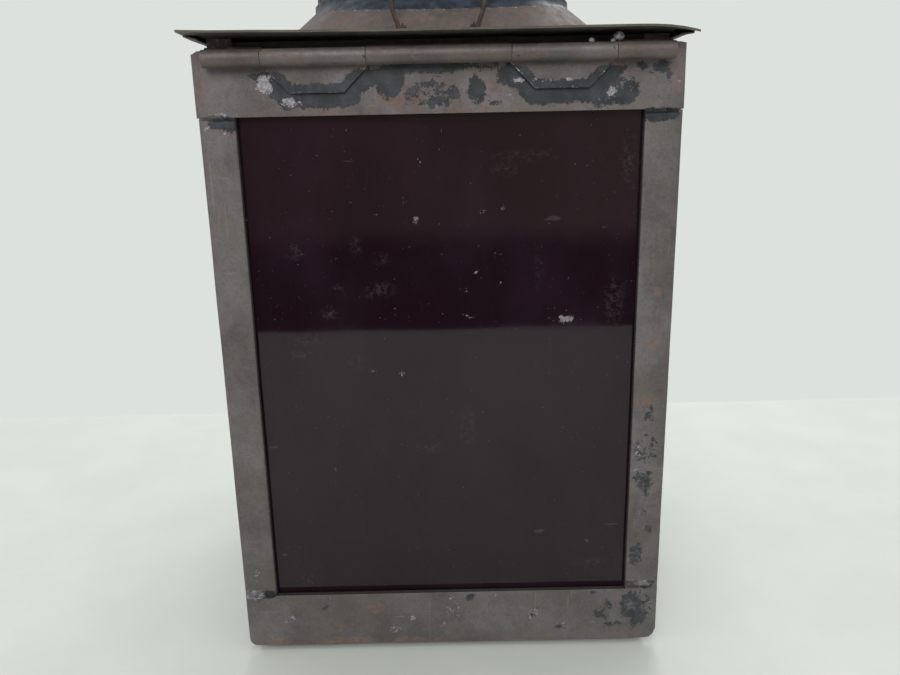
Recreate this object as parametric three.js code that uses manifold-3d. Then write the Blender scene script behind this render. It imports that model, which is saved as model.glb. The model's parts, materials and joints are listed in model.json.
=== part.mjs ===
// An oil-burning darkroom safelight: a square tinplate lantern with a ruby glass door hinged along its top
// edge, a conical chimney with a light trap and a hood, a wire loop to carry it by, and a flat-wick lamp inside.
// Millimetres, +Z up. The front faces -Y, and the origin is on the floor below the chimney's centre line.
import * as THREE from "three";
import { mergeVertices } from "three/addons/utils/BufferGeometryUtils.js";
import Module from "manifold-3d";

const wasm = await Module();
wasm.setup();

// ---------- Driving dimensions ----------
const SHEET = 0.8; // tinplate of the case
const THIN = 0.6; // tinplate of the small folded pieces
const GAP = 0.3; // clearance between neighbouring pieces
const ROUND = 36; // sides of a large round piece
const SMALL_ROUND = 16; // sides of a small round piece

const CASE = { half: 89, front: -82, back: 82, height: 264, flange: 10 };
const FLOOR = { half: 86.8, front: -79.5, back: 80.9, rim: 12 };
const SILL = { front: -80.9, back: -75.5, top: 22 };
const RAIL = { front: -80.9, back: -68, low: 240 };
const ROOF = { half: 95, front: -100, back: 90, low: CASE.height + GAP, hole: 40 };
const ROOF_TOP = ROOF.low + SHEET;
const VENT = { z: 20, radius: 4, pitch: 26, count: 5 };
const BAFFLE = { x: 79, low: 6, top: 34, front: -72, back: 70 };

const DOOR = { half: 92.7, face: -90, back: -80, low: 3, top: 260.1, corner: 4, ledge: -85 };
const OPENING = { half: 78.5, low: 29.2, top: 235.7, reveal: -87.5 };
const GLASS = { half: 82.5, front: -86.5, back: -83.5, low: 24.7, top: 240.7 };
// Distances outward from the glass's edge; the upright channels stop short of the glass's ends.
const CHANNEL = { reach: 7.5, wall: 1.1, lip: -3.6, front: -88.3, back: -82.6, short: 4.6 };

const AXIS = { y: -93.9, z: 256.8 }; // the door's hinge line
const KNUCKLE = { outer: 3.2, bore: 1.7, pin: 1.3 };
const KNUCKLE_ENDS = [-88, -66, -27, 27, 66, 88];
const TAB = { front: -91, back: -90.4, low: 244.2, chamfer: 9 };
const STRAP = { z: 260.6, low: 248 }; // the fixed leaves pass over the door's top edge at this height

const SKIRT = { foot: 83, low: ROOF_TOP + 1, collar: 60.4, shoulder: 284.2, top: 287 };
const NECK = { radius: 59.3, low: 283, top: 356 };
const FLUE = { radius: 38, low: 256, top: 330, flange: 50 };
const DEFLECTOR = { radius: 50, low: 322, shoulder: 338, crown: 12, top: 343 };
const DEFLECTOR_STAY = { half: 4, radius: 39.1, low: 312, bend: 324, outer: 48.6, top: 332 };
const HOOD = { radius: 72, low: 348, shoulder: 374, crown: 20, top: 398 };
const HOOD_STAY = { half: 5, radius: 57, low: 335, bend: 378.4, outer: 66, top: 374.2 };

const BAIL = { y: -84.5, z: 267.6, wire: 0.85, half: 17.6, stub: 12.5, straight: 51, lean: 19.6 };
const CURL = { reach: 2.3, rise: 7 }; // the bends at the loop's two ends
const EYE = { outer: 2, bore: 1.2, from: 12.9, to: 14.3 };

const FONT = { radius: 43, low: 1.2, shoulder: 32, dome: 41, neck: 14, top: 45 };
const FILLER = { x: -28, bore: 6, radius: 6.8, low: 35, top: 43, cap: 8.6, capLow: 39.9, capTop: 45.4 };
const SEAT = { outer: 52, top: 9 };
const COLLAR = { inner: 14.4, outer: 17, low: 41.4, top: 47 };
const GALLERY = { radius: 16.5, low: 47.3, top: 70, hole: 2.6, holeZ: 54.3 };
const CONE = { radius: 17.3, low: 70.4, shoulder: 76, crown: 13, top: 86 };
const WICK = { half: 8, thick: 1.6, low: 9, top: 88.5 };
const WICK_TUBE = { half: 9.5, depth: 4, wall: 0.8, low: 48.4, top: 87.5, window: 7, windowRise: 4 };
const SHAFT = { y: -4.5, z: 62, radius: 1.1, left: -9, spur: 3.4, tooth: 0.9, spurAt: 5, hole: 3 };
const WASHER = { outer: 6.5, inner: 1.6 };
const KNOB = { radius: 11, from: 98, to: 101.5, hub: 3.5, hubFrom: 93 };
const REFLECTOR = { radius: 80, low: 44, top: 222, sweep: Math.PI / 3 };

// ---------- Materials ----------
function finish(color, roughness, metalness) {
  return new THREE.MeshStandardMaterial({ color, roughness, metalness });
}

const wornTin = finish(0x6b6563, 0.55, 0.7);
const rustyTin = finish(0x70655e, 0.7, 0.5);
const japanned = finish(0x2f3a40, 0.45, 0.3);
const brightTin = finish(0xb4b2aa, 0.3, 0.9);
const ironWire = finish(0x4a3d36, 0.7, 0.6);
const brass = finish(0x9c7f43, 0.4, 0.9);
const cotton = finish(0xd8cfb8, 0.95, 0);
const ruby = finish(0x3a0c12, 0.08, 0);

// ---------- Solids ----------
function solidOf(geometry) {
  const bare = new THREE.BufferGeometry().setAttribute("position", geometry.getAttribute("position"));
  bare.setIndex(geometry.index);
  const merged = mergeVertices(bare, 1e-4);
  const mesh = new wasm.Mesh({
    numProp: 3,
    vertProperties: merged.attributes.position.array,
    triVerts: new Uint32Array(merged.index.array),
  });
  return new wasm.Manifold(mesh);
}

function geometryOf(solid) {
  const mesh = solid.getMesh();
  const geometry = new THREE.BufferGeometry();
  geometry.setAttribute("position", new THREE.BufferAttribute(mesh.vertProperties, 3));
  geometry.setIndex(new THREE.BufferAttribute(mesh.triVerts, 1));
  geometry.computeVertexNormals();
  return geometry;
}

function joined(...pieces) {
  return geometryOf(pieces.map(solidOf).reduce((sum, next) => sum.add(next)));
}

function cut(body, ...tools) {
  return geometryOf(tools.map(solidOf).reduce((rest, tool) => rest.subtract(tool), solidOf(body)));
}

function trimmed(body, limit) {
  return geometryOf(solidOf(body).intersect(solidOf(limit)));
}

// A box between two corners, given as [low, high] along each axis.
function block([x0, x1], [y0, y1], [z0, z1]) {
  const geometry = new THREE.BoxGeometry(x1 - x0, y1 - y0, z1 - z0);
  return geometry.translate((x0 + x1) / 2, (y0 + y1) / 2, (z0 + z1) / 2);
}

const shapeOf = (outline) => (outline instanceof THREE.Shape ? outline : new THREE.Shape(outline));

function prism(outline, length) {
  const options = { depth: length, bevelEnabled: false, curveSegments: SMALL_ROUND };
  return new THREE.ExtrudeGeometry(shapeOf(outline), options);
}

const UNIT_X = new THREE.Vector3(1, 0, 0);
const UNIT_Y = new THREE.Vector3(0, 1, 0);
const UNIT_Z = new THREE.Vector3(0, 0, 1);

// Prisms of an outline drawn in plan (x, y), from the side (y, z) or from the front (x, z).
const alongZ = (outline, z0, z1) => prism(outline, z1 - z0).translate(0, 0, z0);

function alongX(outline, x0, x1) {
  const turn = new THREE.Matrix4().makeBasis(UNIT_Y, UNIT_Z, UNIT_X);
  return prism(outline, x1 - x0).applyMatrix4(turn).translate(x0, 0, 0);
}

function alongY(outline, y0, y1) {
  const turn = new THREE.Matrix4().makeBasis(UNIT_X, UNIT_Z, UNIT_Y.clone().negate());
  return prism(outline, y1 - y0).applyMatrix4(turn).translate(0, y1, 0);
}

// A straight round bar along X.
function barX(radius, x0, x1, y, z, sides = SMALL_ROUND) {
  const bar = new THREE.CylinderGeometry(radius, radius, x1 - x0, sides);
  return bar.rotateZ(Math.PI / 2).translate((x0 + x1) / 2, y, z);
}

// The section of a folded sheet: its edge follows the fold points, and its thickness lies to their left.
function folded(path, thickness) {
  const points = path.map(([u, v]) => new THREE.Vector2(u, v));
  const runs = points.slice(1).map((point, i) => point.clone().sub(points[i]).normalize());
  const inner = points.map((point, i) => {
    const before = runs[Math.max(i - 1, 0)];
    const after = runs[Math.min(i, runs.length - 1)];
    const across = new THREE.Vector2(-before.y - after.y, before.x + after.x);
    return across.multiplyScalar(thickness / (1 + before.dot(after))).add(point);
  });
  return [...points, ...inner.reverse()];
}

// A round piece turned about the Z axis from a section of [radius, height] points.
function turned(section, sides = ROUND) {
  const points = section.map((p) => (Array.isArray(p) ? new THREE.Vector2(...p) : p.clone()));
  if (THREE.ShapeUtils.isClockWise(points)) points.reverse();
  if (points[0].x > 0 || points.at(-1).x > 0) points.push(points[0].clone());
  return new THREE.LatheGeometry(points, sides).rotateX(Math.PI / 2);
}

function annulus(cx, cy, outer, inner) {
  const shape = new THREE.Shape().absarc(cx, cy, outer, 0, 2 * Math.PI);
  shape.holes.push(new THREE.Path().absarc(cx, cy, inner, 0, 2 * Math.PI));
  return shape;
}

// ---------- The assembly ----------
const lantern = new THREE.Group();

function add(name, geometry, material) {
  const mesh = new THREE.Mesh(geometry, material);
  mesh.name = name;
  lantern.add(mesh);
  return mesh;
}

// ---------- Case ----------
function sidePanel(side) {
  const folds = [
    [-CASE.half, CASE.back],
    [-CASE.half, CASE.front],
    [CASE.flange - CASE.half, CASE.front],
  ];
  const outline = folded(folds, SHEET).map((p) => p.setX(-side * p.x));
  const holes = [];
  for (let i = 0; i < VENT.count; i++) {
    const y = (i - (VENT.count - 1) / 2) * VENT.pitch;
    holes.push(barX(VENT.radius, -2, 2, y, VENT.z).translate(side * CASE.half, 0, 0));
  }
  if (side > 0) holes.push(barX(SHAFT.hole, CASE.half - 2, CASE.half + 2, SHAFT.y, SHAFT.z));
  return cut(alongZ(outline, 0, CASE.height), ...holes);
}

function backPanel() {
  const inside = CASE.half - SHEET - GAP;
  const lip = CASE.back - CASE.flange;
  const folds = [[inside, lip], [inside, CASE.back], [-inside, CASE.back], [-inside, lip]];
  return alongZ(folded(folds, SHEET), 0, CASE.height);
}

function floorPan() {
  const tray = block([-FLOOR.half, FLOOR.half], [FLOOR.front, FLOOR.back], [0, FLOOR.rim]);
  const hollow = block(
    [SHEET - FLOOR.half, FLOOR.half - SHEET],
    [FLOOR.front + SHEET, FLOOR.back - SHEET],
    [SHEET, FLOOR.rim + 1],
  );
  return cut(tray, hollow);
}

function frontSill() {
  const folds = [[SILL.back, SILL.top], [SILL.front, SILL.top], [SILL.front, 0]];
  return alongX(folded(folds, SHEET), -FLOOR.half, FLOOR.half);
}

function topFrontRail() {
  const folds = [[RAIL.back, CASE.height], [RAIL.front, CASE.height], [RAIL.front, RAIL.low]];
  return alongX(folded(folds, SHEET), -FLOOR.half, FLOOR.half);
}

function airBaffle(side) {
  const wall = CASE.half - SHEET - GAP;
  const folds = [[-wall, BAFFLE.top], [-BAFFLE.x, BAFFLE.top], [-BAFFLE.x, BAFFLE.low]];
  const outline = folded(folds, THIN).map((p) => p.setX(-side * p.x));
  return alongY(outline, BAFFLE.front, BAFFLE.back);
}

function roofPlate() {
  const plate = new THREE.Shape();
  plate.moveTo(-ROOF.half, ROOF.front);
  plate.lineTo(ROOF.half, ROOF.front);
  plate.lineTo(ROOF.half, ROOF.back);
  plate.lineTo(-ROOF.half, ROOF.back);
  plate.holes.push(new THREE.Path().absarc(0, 0, ROOF.hole, 0, 2 * Math.PI));
  return alongZ(plate, ROOF.low, ROOF_TOP);
}

add("left_side_panel", sidePanel(-1), wornTin);
add("right_side_panel", sidePanel(1), wornTin);
add("back_panel", backPanel(), wornTin);
add("floor_pan", floorPan(), wornTin);
add("front_sill", frontSill(), japanned);
add("top_front_rail", topFrontRail(), japanned);
add("air_baffle_left", airBaffle(-1), japanned);
add("air_baffle_right", airBaffle(1), japanned);
add("roof_plate", roofPlate(), rustyTin);

// ---------- Door ----------
const DOOR_WRAP = [
  [-DOOR.half, DOOR.back],
  [-DOOR.half, DOOR.face],
  [DOOR.half, DOOR.face],
  [DOOR.half, DOOR.back],
];
const BEHIND_FACE = DOOR.face + SHEET / 2;
const INSIDE_WRAP = [SHEET / 2 - DOOR.half, DOOR.half - SHEET / 2];

function doorTopStrip() {
  const low = OPENING.top + GAP / 2;
  const wrap = alongZ(folded(DOOR_WRAP, SHEET), low, DOOR.top);
  const ledge = block(INSIDE_WRAP, [BEHIND_FACE, DOOR.ledge], [DOOR.top - SHEET, DOOR.top]);
  const reveal = block([-OPENING.half, OPENING.half], [BEHIND_FACE, OPENING.reveal], [low, low + SHEET]);
  return joined(wrap, ledge, reveal);
}

function doorBottomStrip() {
  const top = OPENING.low - GAP / 2;
  const wrap = alongZ(folded(DOOR_WRAP, SHEET), DOOR.low, top);
  const ledge = block(INSIDE_WRAP, [BEHIND_FACE, DOOR.ledge], [DOOR.low, DOOR.low + SHEET]);
  const reveal = block([-OPENING.half, OPENING.half], [BEHIND_FACE, OPENING.reveal], [top - SHEET, top]);
  const limit = new THREE.Shape();
  limit.moveTo(DOOR.half, top);
  limit.lineTo(-DOOR.half, top);
  limit.absarc(DOOR.corner - DOOR.half, DOOR.low + DOOR.corner, DOOR.corner, Math.PI, 1.5 * Math.PI);
  limit.absarc(DOOR.half - DOOR.corner, DOOR.low + DOOR.corner, DOOR.corner, 1.5 * Math.PI, 2 * Math.PI);
  return trimmed(joined(wrap, ledge, reveal), alongY(limit, DOOR.face - 1, DOOR.back + 1));
}

function doorStile(side) {
  const folds = [
    [-DOOR.half, DOOR.back],
    [-DOOR.half, DOOR.face],
    [-OPENING.half, DOOR.face],
    [-OPENING.half, OPENING.reveal],
  ];
  const outline = folded(folds, SHEET).map((p) => p.setX(-side * p.x));
  return alongZ(outline, OPENING.low + GAP / 2, OPENING.top - GAP / 2);
}

// The glass channel's section: a foot soldered behind the frame, a wall beside the glass and a lip.
const CHANNEL_FOLDS = [
  [CHANNEL.reach, CHANNEL.front],
  [CHANNEL.wall, CHANNEL.front],
  [CHANNEL.wall, CHANNEL.back],
  [CHANNEL.lip, CHANNEL.back],
];
const CHANNEL_SECTION = folded(CHANNEL_FOLDS, THIN);

function uprightChannel(side) {
  const outline = CHANNEL_SECTION.map((p) => new THREE.Vector2(side * (GLASS.half + p.x), p.y));
  return alongZ(outline, GLASS.low + CHANNEL.short, GLASS.top - CHANNEL.short);
}

function levelChannel(edge, outward) {
  const outline = CHANNEL_SECTION.map((p) => new THREE.Vector2(p.y, edge + outward * p.x));
  return alongX(outline, -GLASS.half, GLASS.half);
}

add("door_top_strip", doorTopStrip(), wornTin);
add("door_bottom_strip", doorBottomStrip(), wornTin);
add("door_stile_left", doorStile(-1), wornTin);
add("door_stile_right", doorStile(1), wornTin);
add("glass_channel_left", uprightChannel(-1), wornTin);
add("glass_channel_right", uprightChannel(1), wornTin);
add("glass_channel_bottom", levelChannel(GLASS.low, -1), wornTin);
add("glass_clip_top", levelChannel(GLASS.top, 1), wornTin);
const pane = block([-GLASS.half, GLASS.half], [GLASS.front, GLASS.back], [GLASS.low, GLASS.top]);
add("ruby_glass", pane, ruby);

// ---------- Door hinge ----------
function knuckle(index) {
  const section = annulus(AXIS.y, AXIS.z, KNUCKLE.outer, KNUCKLE.bore);
  return alongX(section, KNUCKLE_ENDS[index] + GAP / 2, KNUCKLE_ENDS[index + 1] - GAP / 2);
}

// The bore is cut again after the leaf is joined on, so that the leaf doesn't cross it.
function boredLeaf(index, leaf) {
  const bore = barX(KNUCKLE.bore, KNUCKLE_ENDS[0] - 1, KNUCKLE_ENDS.at(-1) + 1, AXIS.y, AXIS.z);
  return cut(joined(knuckle(index), leaf), bore);
}

function doorLeaf(index) {
  const left = KNUCKLE_ENDS[index] + GAP / 2;
  const right = KNUCKLE_ENDS[index + 1] - GAP / 2;
  const tab = new THREE.Shape();
  tab.moveTo(left, AXIS.z);
  tab.lineTo(left, TAB.low + TAB.chamfer);
  tab.lineTo(left + TAB.chamfer, TAB.low);
  tab.lineTo(right - TAB.chamfer, TAB.low);
  tab.lineTo(right, TAB.low + TAB.chamfer);
  tab.lineTo(right, AXIS.z);
  return boredLeaf(index, alongY(tab, TAB.front, TAB.back));
}

// A fixed leaf leaves the knuckle's crown, passes over the door and turns down in front of the case.
function caseLeaf(index, seat) {
  const crown = AXIS.z + KNUCKLE.outer - THIN;
  const folds = [
    [seat, STRAP.low],
    [seat, STRAP.z + THIN],
    [AXIS.y + 2, STRAP.z + THIN],
    [AXIS.y, crown + THIN],
  ];
  const left = KNUCKLE_ENDS[index] + GAP / 2;
  const right = KNUCKLE_ENDS[index + 1] - GAP / 2;
  return boredLeaf(index, alongX(folded(folds, THIN), left, right));
}

const FLANGE_SEAT = CASE.front - GAP;
const RAIL_SEAT = RAIL.front - GAP;
add("hinge_leaf_case_left", caseLeaf(0, FLANGE_SEAT), wornTin);
add("hinge_leaf_door_left", doorLeaf(1), wornTin);
add("hinge_leaf_case_centre", caseLeaf(2, RAIL_SEAT), wornTin);
add("hinge_leaf_door_right", doorLeaf(3), wornTin);
add("hinge_leaf_case_right", caseLeaf(4, FLANGE_SEAT), rustyTin);
add("hinge_pin", barX(KNUCKLE.pin, KNUCKLE_ENDS[0], KNUCKLE_ENDS.at(-1), AXIS.y, AXIS.z), ironWire);

// ---------- Chimney ----------
// A narrow strip bent in the (radius, height) plane, standing at an angle round the chimney.
const stay = (folds, half, angle) => alongX(folded(folds, SHEET), -half, half).rotateZ(angle);

const skirtPath = [
  [SKIRT.foot, SKIRT.low],
  [SKIRT.collar, SKIRT.shoulder],
  [SKIRT.collar, SKIRT.top],
];
const neckPath = [
  [NECK.radius, NECK.low],
  [NECK.radius, NECK.top],
];
const fluePath = [
  [FLUE.radius, FLUE.low],
  [FLUE.radius, FLUE.top],
];
const flangePath = [
  [FLUE.flange, ROOF_TOP + GAP],
  [FLUE.radius + GAP, ROOF_TOP + GAP],
];
const deflectorPath = [
  [DEFLECTOR.radius, DEFLECTOR.low],
  [DEFLECTOR.radius, DEFLECTOR.shoulder],
  [DEFLECTOR.crown, DEFLECTOR.top],
  [0, DEFLECTOR.top],
];
const hoodPath = [
  [HOOD.radius, HOOD.low],
  [HOOD.radius, HOOD.shoulder],
  [HOOD.crown, HOOD.top],
  [0, HOOD.top],
];

add("chimney_skirt", turned(folded(skirtPath, SHEET)), rustyTin);
add("chimney_neck", turned(folded(neckPath, SHEET)), japanned);
add("inner_flue", turned(folded(fluePath, SHEET)), rustyTin);
add("flue_flange", turned(folded(flangePath, -SHEET)), rustyTin);
add("flue_deflector", turned(folded(deflectorPath, SHEET)), rustyTin);
add("chimney_hood", turned(folded(hoodPath, SHEET)), japanned);

const deflectorStay = [
  [DEFLECTOR_STAY.radius, DEFLECTOR_STAY.low],
  [DEFLECTOR_STAY.radius, DEFLECTOR_STAY.bend],
  [DEFLECTOR_STAY.outer, DEFLECTOR_STAY.bend],
  [DEFLECTOR_STAY.outer, DEFLECTOR_STAY.top],
];
const hoodStay = [
  [HOOD_STAY.radius, HOOD_STAY.low],
  [HOOD_STAY.radius, HOOD_STAY.bend],
  [HOOD_STAY.outer, HOOD_STAY.top],
];
for (let i = 0; i < 3; i++) {
  const angle = (i * 2 * Math.PI) / 3;
  add(`deflector_stay_${i + 1}`, stay(deflectorStay, DEFLECTOR_STAY.half, angle), rustyTin);
  add(`hood_stay_${i + 1}`, stay(hoodStay, HOOD_STAY.half, angle), rustyTin);
}

// ---------- Carrying loop ----------
function wireLoop() {
  const side = (sign) => [
    [sign * BAIL.stub, 0],
    [sign * (BAIL.stub + CURL.reach), 0],
    [sign * (BAIL.half - CURL.reach), CURL.reach],
    [sign * (BAIL.half - BAIL.wire), CURL.rise],
    [sign * BAIL.half, 2 * CURL.rise],
    [sign * BAIL.half, BAIL.straight - 2 * CURL.rise],
  ];
  const arch = [];
  for (let i = 0; i <= 8; i++) {
    const angle = Math.PI - (i * Math.PI) / 8;
    arch.push([BAIL.half * Math.cos(angle), BAIL.straight + BAIL.half * Math.sin(angle)]);
  }
  const points = [...side(-1), ...arch, ...side(1).reverse()];
  const curve = new THREE.CatmullRomCurve3(points.map(([x, up]) => new THREE.Vector3(x, 0, up)));
  const section = new THREE.Shape().absarc(0, 0, BAIL.wire, 0, 2 * Math.PI);
  const wire = new THREE.ExtrudeGeometry(section, { steps: 64, curveSegments: 4, extrudePath: curve });
  return wire.rotateX(THREE.MathUtils.degToRad(-BAIL.lean)).translate(0, BAIL.y, BAIL.z);
}

const eye = annulus(BAIL.y, BAIL.z, EYE.outer, EYE.bore);
add("wire_bail", wireLoop(), ironWire);
add("bail_eye_left", alongX(eye, -EYE.to, -EYE.from), ironWire);
add("bail_eye_right", alongX(eye, EYE.from, EYE.to), ironWire);

// ---------- Lamp ----------
function oilFont() {
  const path = [
    [0, FONT.low],
    [FONT.radius, FONT.low],
    [FONT.radius, FONT.shoulder],
    [FONT.neck, FONT.dome],
    [FONT.neck, FONT.top],
  ];
  const tank = turned(folded(path, SHEET));
  const pipe = (radius, z0, z1) =>
    new THREE.CylinderGeometry(radius, radius, z1 - z0, SMALL_ROUND)
      .rotateX(Math.PI / 2)
      .translate(FILLER.x, 0, (z0 + z1) / 2);
  const outside = pipe(FILLER.radius, FILLER.low, FILLER.top);
  const bore = pipe(FILLER.bore, FILLER.low - 2, FILLER.top + 1);
  return cut(joined(tank, outside), bore);
}

function burnerGallery() {
  const path = [
    [0, GALLERY.low],
    [GALLERY.radius, GALLERY.low],
    [GALLERY.radius, GALLERY.top],
  ];
  const cup = turned(folded(path, SHEET), 24);
  const reach = GALLERY.radius + 2;
  const airHoles = [];
  for (let i = 0; i < 4; i++) {
    const angle = ((i + 0.5) * Math.PI) / 4;
    airHoles.push(barX(GALLERY.hole, -reach, reach, 0, GALLERY.holeZ).rotateZ(angle));
  }
  const slotHalf = WICK.half + 2 * GAP;
  const slotRun = [GALLERY.low - 1, GALLERY.low + 2];
  const slot = block([-slotHalf, slotHalf], [-WICK.thick, WICK.thick], slotRun);
  const shaftHole = barX(SHAFT.radius + 3 * GAP, GALLERY.radius / 2, reach, SHAFT.y, SHAFT.z);
  return cut(cup, slot, shaftHole, ...airHoles);
}

function flameCone() {
  const path = [
    [CONE.radius, CONE.low],
    [CONE.radius, CONE.shoulder],
    [CONE.crown, CONE.top],
    [0, CONE.top],
  ];
  const slotHalf = WICK_TUBE.half + SHEET;
  const slotDepth = WICK_TUBE.depth / 2 + 4 * GAP;
  const slot = block([-slotHalf, slotHalf], [-slotDepth, slotDepth], [CONE.top - 6, CONE.top + 2]);
  return cut(turned(folded(path, SHEET), 24), slot);
}

function wickTube() {
  const { half, wall, low, top, windowRise } = WICK_TUBE;
  const halfDepth = WICK_TUBE.depth / 2;
  const outside = block([-half, half], [-halfDepth, halfDepth], [low, top]);
  const bore = [half - wall, halfDepth - wall];
  const inside = block([-bore[0], bore[0]], [-bore[1], bore[1]], [low - 1, top + 1]);
  const window = block(
    [-WICK_TUBE.window, WICK_TUBE.window],
    [-halfDepth - 1, wall - halfDepth + 0.1],
    [SHAFT.z - windowRise, SHAFT.z + windowRise],
  );
  return cut(outside, inside, window);
}

// A toothed wheel that grips the wick, its outline a point at each tooth's tip and one at each root.
function spurWheel(x) {
  const teeth = 10;
  const outline = new THREE.Shape();
  for (let i = 0; i < 2 * teeth; i++) {
    const radius = i % 2 ? SHAFT.spur : SHAFT.spur - SHAFT.tooth;
    const angle = (i * Math.PI) / teeth;
    outline[i ? "lineTo" : "moveTo"](radius * Math.cos(angle), radius * Math.sin(angle));
  }
  outline.holes.push(new THREE.Path().absarc(0, 0, SHAFT.radius + GAP, 0, 2 * Math.PI));
  return alongX(outline, x - SHEET, x + SHEET).translate(0, SHAFT.y, SHAFT.z);
}

function wickKnob() {
  const disc = barX(KNOB.radius, KNOB.from, KNOB.to, SHAFT.y, SHAFT.z, 24);
  const hub = barX(KNOB.hub, KNOB.hubFrom, KNOB.from + 1, SHAFT.y, SHAFT.z);
  const bore = barX(SHAFT.radius + GAP, KNOB.hubFrom - 1, KNOB.to - 3 * GAP, SHAFT.y, SHAFT.z);
  return cut(joined(disc, hub), bore);
}

function reflector() {
  const curved = new THREE.Shape();
  const from = Math.PI / 2 - REFLECTOR.sweep;
  const to = Math.PI / 2 + REFLECTOR.sweep;
  curved.absarc(0, 0, REFLECTOR.radius, from, to);
  curved.absarc(0, 0, REFLECTOR.radius - THIN, to, from, true);
  return alongZ(curved, REFLECTOR.low, REFLECTOR.top);
}

const seatPath = [
  [FONT.radius + 2 * GAP, SEAT.top],
  [FONT.radius + 2 * GAP, SHEET + GAP],
  [SEAT.outer, SHEET + GAP],
];
const capPath = [
  [FILLER.cap, FILLER.capLow],
  [FILLER.cap, FILLER.capTop],
  [0, FILLER.capTop],
];
const collarSection = [
  [COLLAR.inner, COLLAR.low],
  [COLLAR.outer, COLLAR.low],
  [COLLAR.outer, COLLAR.top],
  [COLLAR.inner, COLLAR.top],
];
const halfWick = WICK.thick / 2;
const wickStrip = block([-WICK.half, WICK.half], [-halfWick, halfWick], [WICK.low, WICK.top]);

add("font_seat_ring", turned(folded(seatPath, SHEET)), rustyTin);
add("oil_font", oilFont(), brightTin);
add("filler_cap", turned(folded(capPath, SHEET), 24).translate(FILLER.x, 0, 0), brass);
add("burner_collar", turned(collarSection, 24), brass);
add("burner_gallery", burnerGallery(), brass);
add("flame_cone", flameCone(), brass);
add("wick_tube", wickTube(), brass);
add("wick", wickStrip, cotton);
add("wick_shaft", barX(SHAFT.radius, SHAFT.left, KNOB.to - 4 * GAP, SHAFT.y, SHAFT.z, 12), brass);
add("wick_spur_left", spurWheel(-SHAFT.spurAt), brass);
add("wick_spur_right", spurWheel(SHAFT.spurAt), brass);
add("wick_knob", wickKnob(), brass);
const washer = annulus(SHAFT.y, SHAFT.z, WASHER.outer, WASHER.inner);
add("shaft_washer", alongX(washer, CASE.half + GAP, CASE.half + GAP + SHEET), brightTin);
add("reflector", reflector(), brightTin);

export default lantern;
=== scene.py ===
"""Looks for the darkroom safelight: an old oil-burning tinplate lantern with a ruby glass door.
Lengths are in millimetres until a mesh is made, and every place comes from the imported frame."""
import json
import math

import bmesh
import bpy
from mathutils import Matrix, Vector, noise


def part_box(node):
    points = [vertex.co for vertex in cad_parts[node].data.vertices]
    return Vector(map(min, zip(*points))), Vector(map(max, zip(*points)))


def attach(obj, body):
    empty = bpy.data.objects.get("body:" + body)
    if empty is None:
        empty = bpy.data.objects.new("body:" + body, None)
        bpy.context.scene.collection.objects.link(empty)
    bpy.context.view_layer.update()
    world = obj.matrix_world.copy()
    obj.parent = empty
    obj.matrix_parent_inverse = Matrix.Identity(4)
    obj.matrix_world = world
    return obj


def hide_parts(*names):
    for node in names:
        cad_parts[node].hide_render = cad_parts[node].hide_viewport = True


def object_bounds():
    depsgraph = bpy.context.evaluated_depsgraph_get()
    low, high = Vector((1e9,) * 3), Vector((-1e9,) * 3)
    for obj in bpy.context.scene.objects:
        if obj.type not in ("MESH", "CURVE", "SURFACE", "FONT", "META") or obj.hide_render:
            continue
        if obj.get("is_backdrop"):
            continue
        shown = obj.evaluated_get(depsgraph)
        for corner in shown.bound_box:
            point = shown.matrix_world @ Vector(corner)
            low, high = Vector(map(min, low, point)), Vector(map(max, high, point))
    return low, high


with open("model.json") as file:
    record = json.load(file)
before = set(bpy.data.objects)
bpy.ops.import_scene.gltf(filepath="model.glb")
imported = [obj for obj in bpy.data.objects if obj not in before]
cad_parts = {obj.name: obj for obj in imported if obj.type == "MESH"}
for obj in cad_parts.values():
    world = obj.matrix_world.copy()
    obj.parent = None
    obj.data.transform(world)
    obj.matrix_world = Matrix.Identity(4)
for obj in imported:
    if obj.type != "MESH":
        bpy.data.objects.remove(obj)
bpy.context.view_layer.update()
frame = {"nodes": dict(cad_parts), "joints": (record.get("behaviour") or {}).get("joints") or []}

MM = 0.001
JOINT = {joint["name"]: joint for joint in frame["joints"]}


def span(node):
    """Lowest and highest corner of a CAD node, in millimetres."""
    low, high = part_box(node)
    return low / MM, high / MM


# ---------------------------------------------------------------- sizes, most of them read from the frame
SHEET = 0.8  # the tinplate
THIN = 0.6  # the hinge's leaves and the reflector
top_low, top_high = span("door_top_strip")
bottom_low, bottom_high = span("door_bottom_strip")
stile_low, stile_high = span("door_stile_left")
glass_low, glass_high = span("ruby_glass")
DOOR_HALF, DOOR_FACE, DOOR_BACK = top_high.x, top_low.y, top_high.y
CASE_HALF = -span("left_side_panel")[0].x
OPENING_DROP = 0.7  # how far the opening's foot lies below the CAD's
OPENING_HALF = -stile_high.x
REVEAL = stile_low.y + 2.5  # the strips' inner edges are folded back as far as this
CORNER = 4.0  # radius of the door's lower corners
FOLD = 1.5  # radius of the folds in its level strips
FINE = 1.3  # step of its grid, fine enough to carry its marks
TRIM = 0.12  # bevel of its edges
AXIS_Y, AXIS_Z = (value / MM for value in JOINT["door_hinge"]["pos_m"][1:])
pin_low, pin_high = span("hinge_pin")
PIN_RADIUS = (pin_high.z - pin_low.z) / 2
KNUCKLE = 3.2  # radius of the hinge's rolled tube
CLOSER = 0.07  # the knuckles stand this much closer together than the CAD's
TAB_CHAMFER = 9.0  # what is cut off the lower corners of the leaves on the door's face
TAB_LOW = span("hinge_leaf_door_left")[0].z
roof_low, roof_high = span("roof_plate")
skirt_low, skirt_high = span("chimney_skirt")
neck_low, neck_high = span("chimney_neck")
hood_low, hood_high = span("chimney_hood")
NECK_RADIUS = neck_high.x - 0.7
HOOD_RADIUS = hood_high.x
HOOD_WALL = HOOD_RADIUS - 0.9
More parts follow.
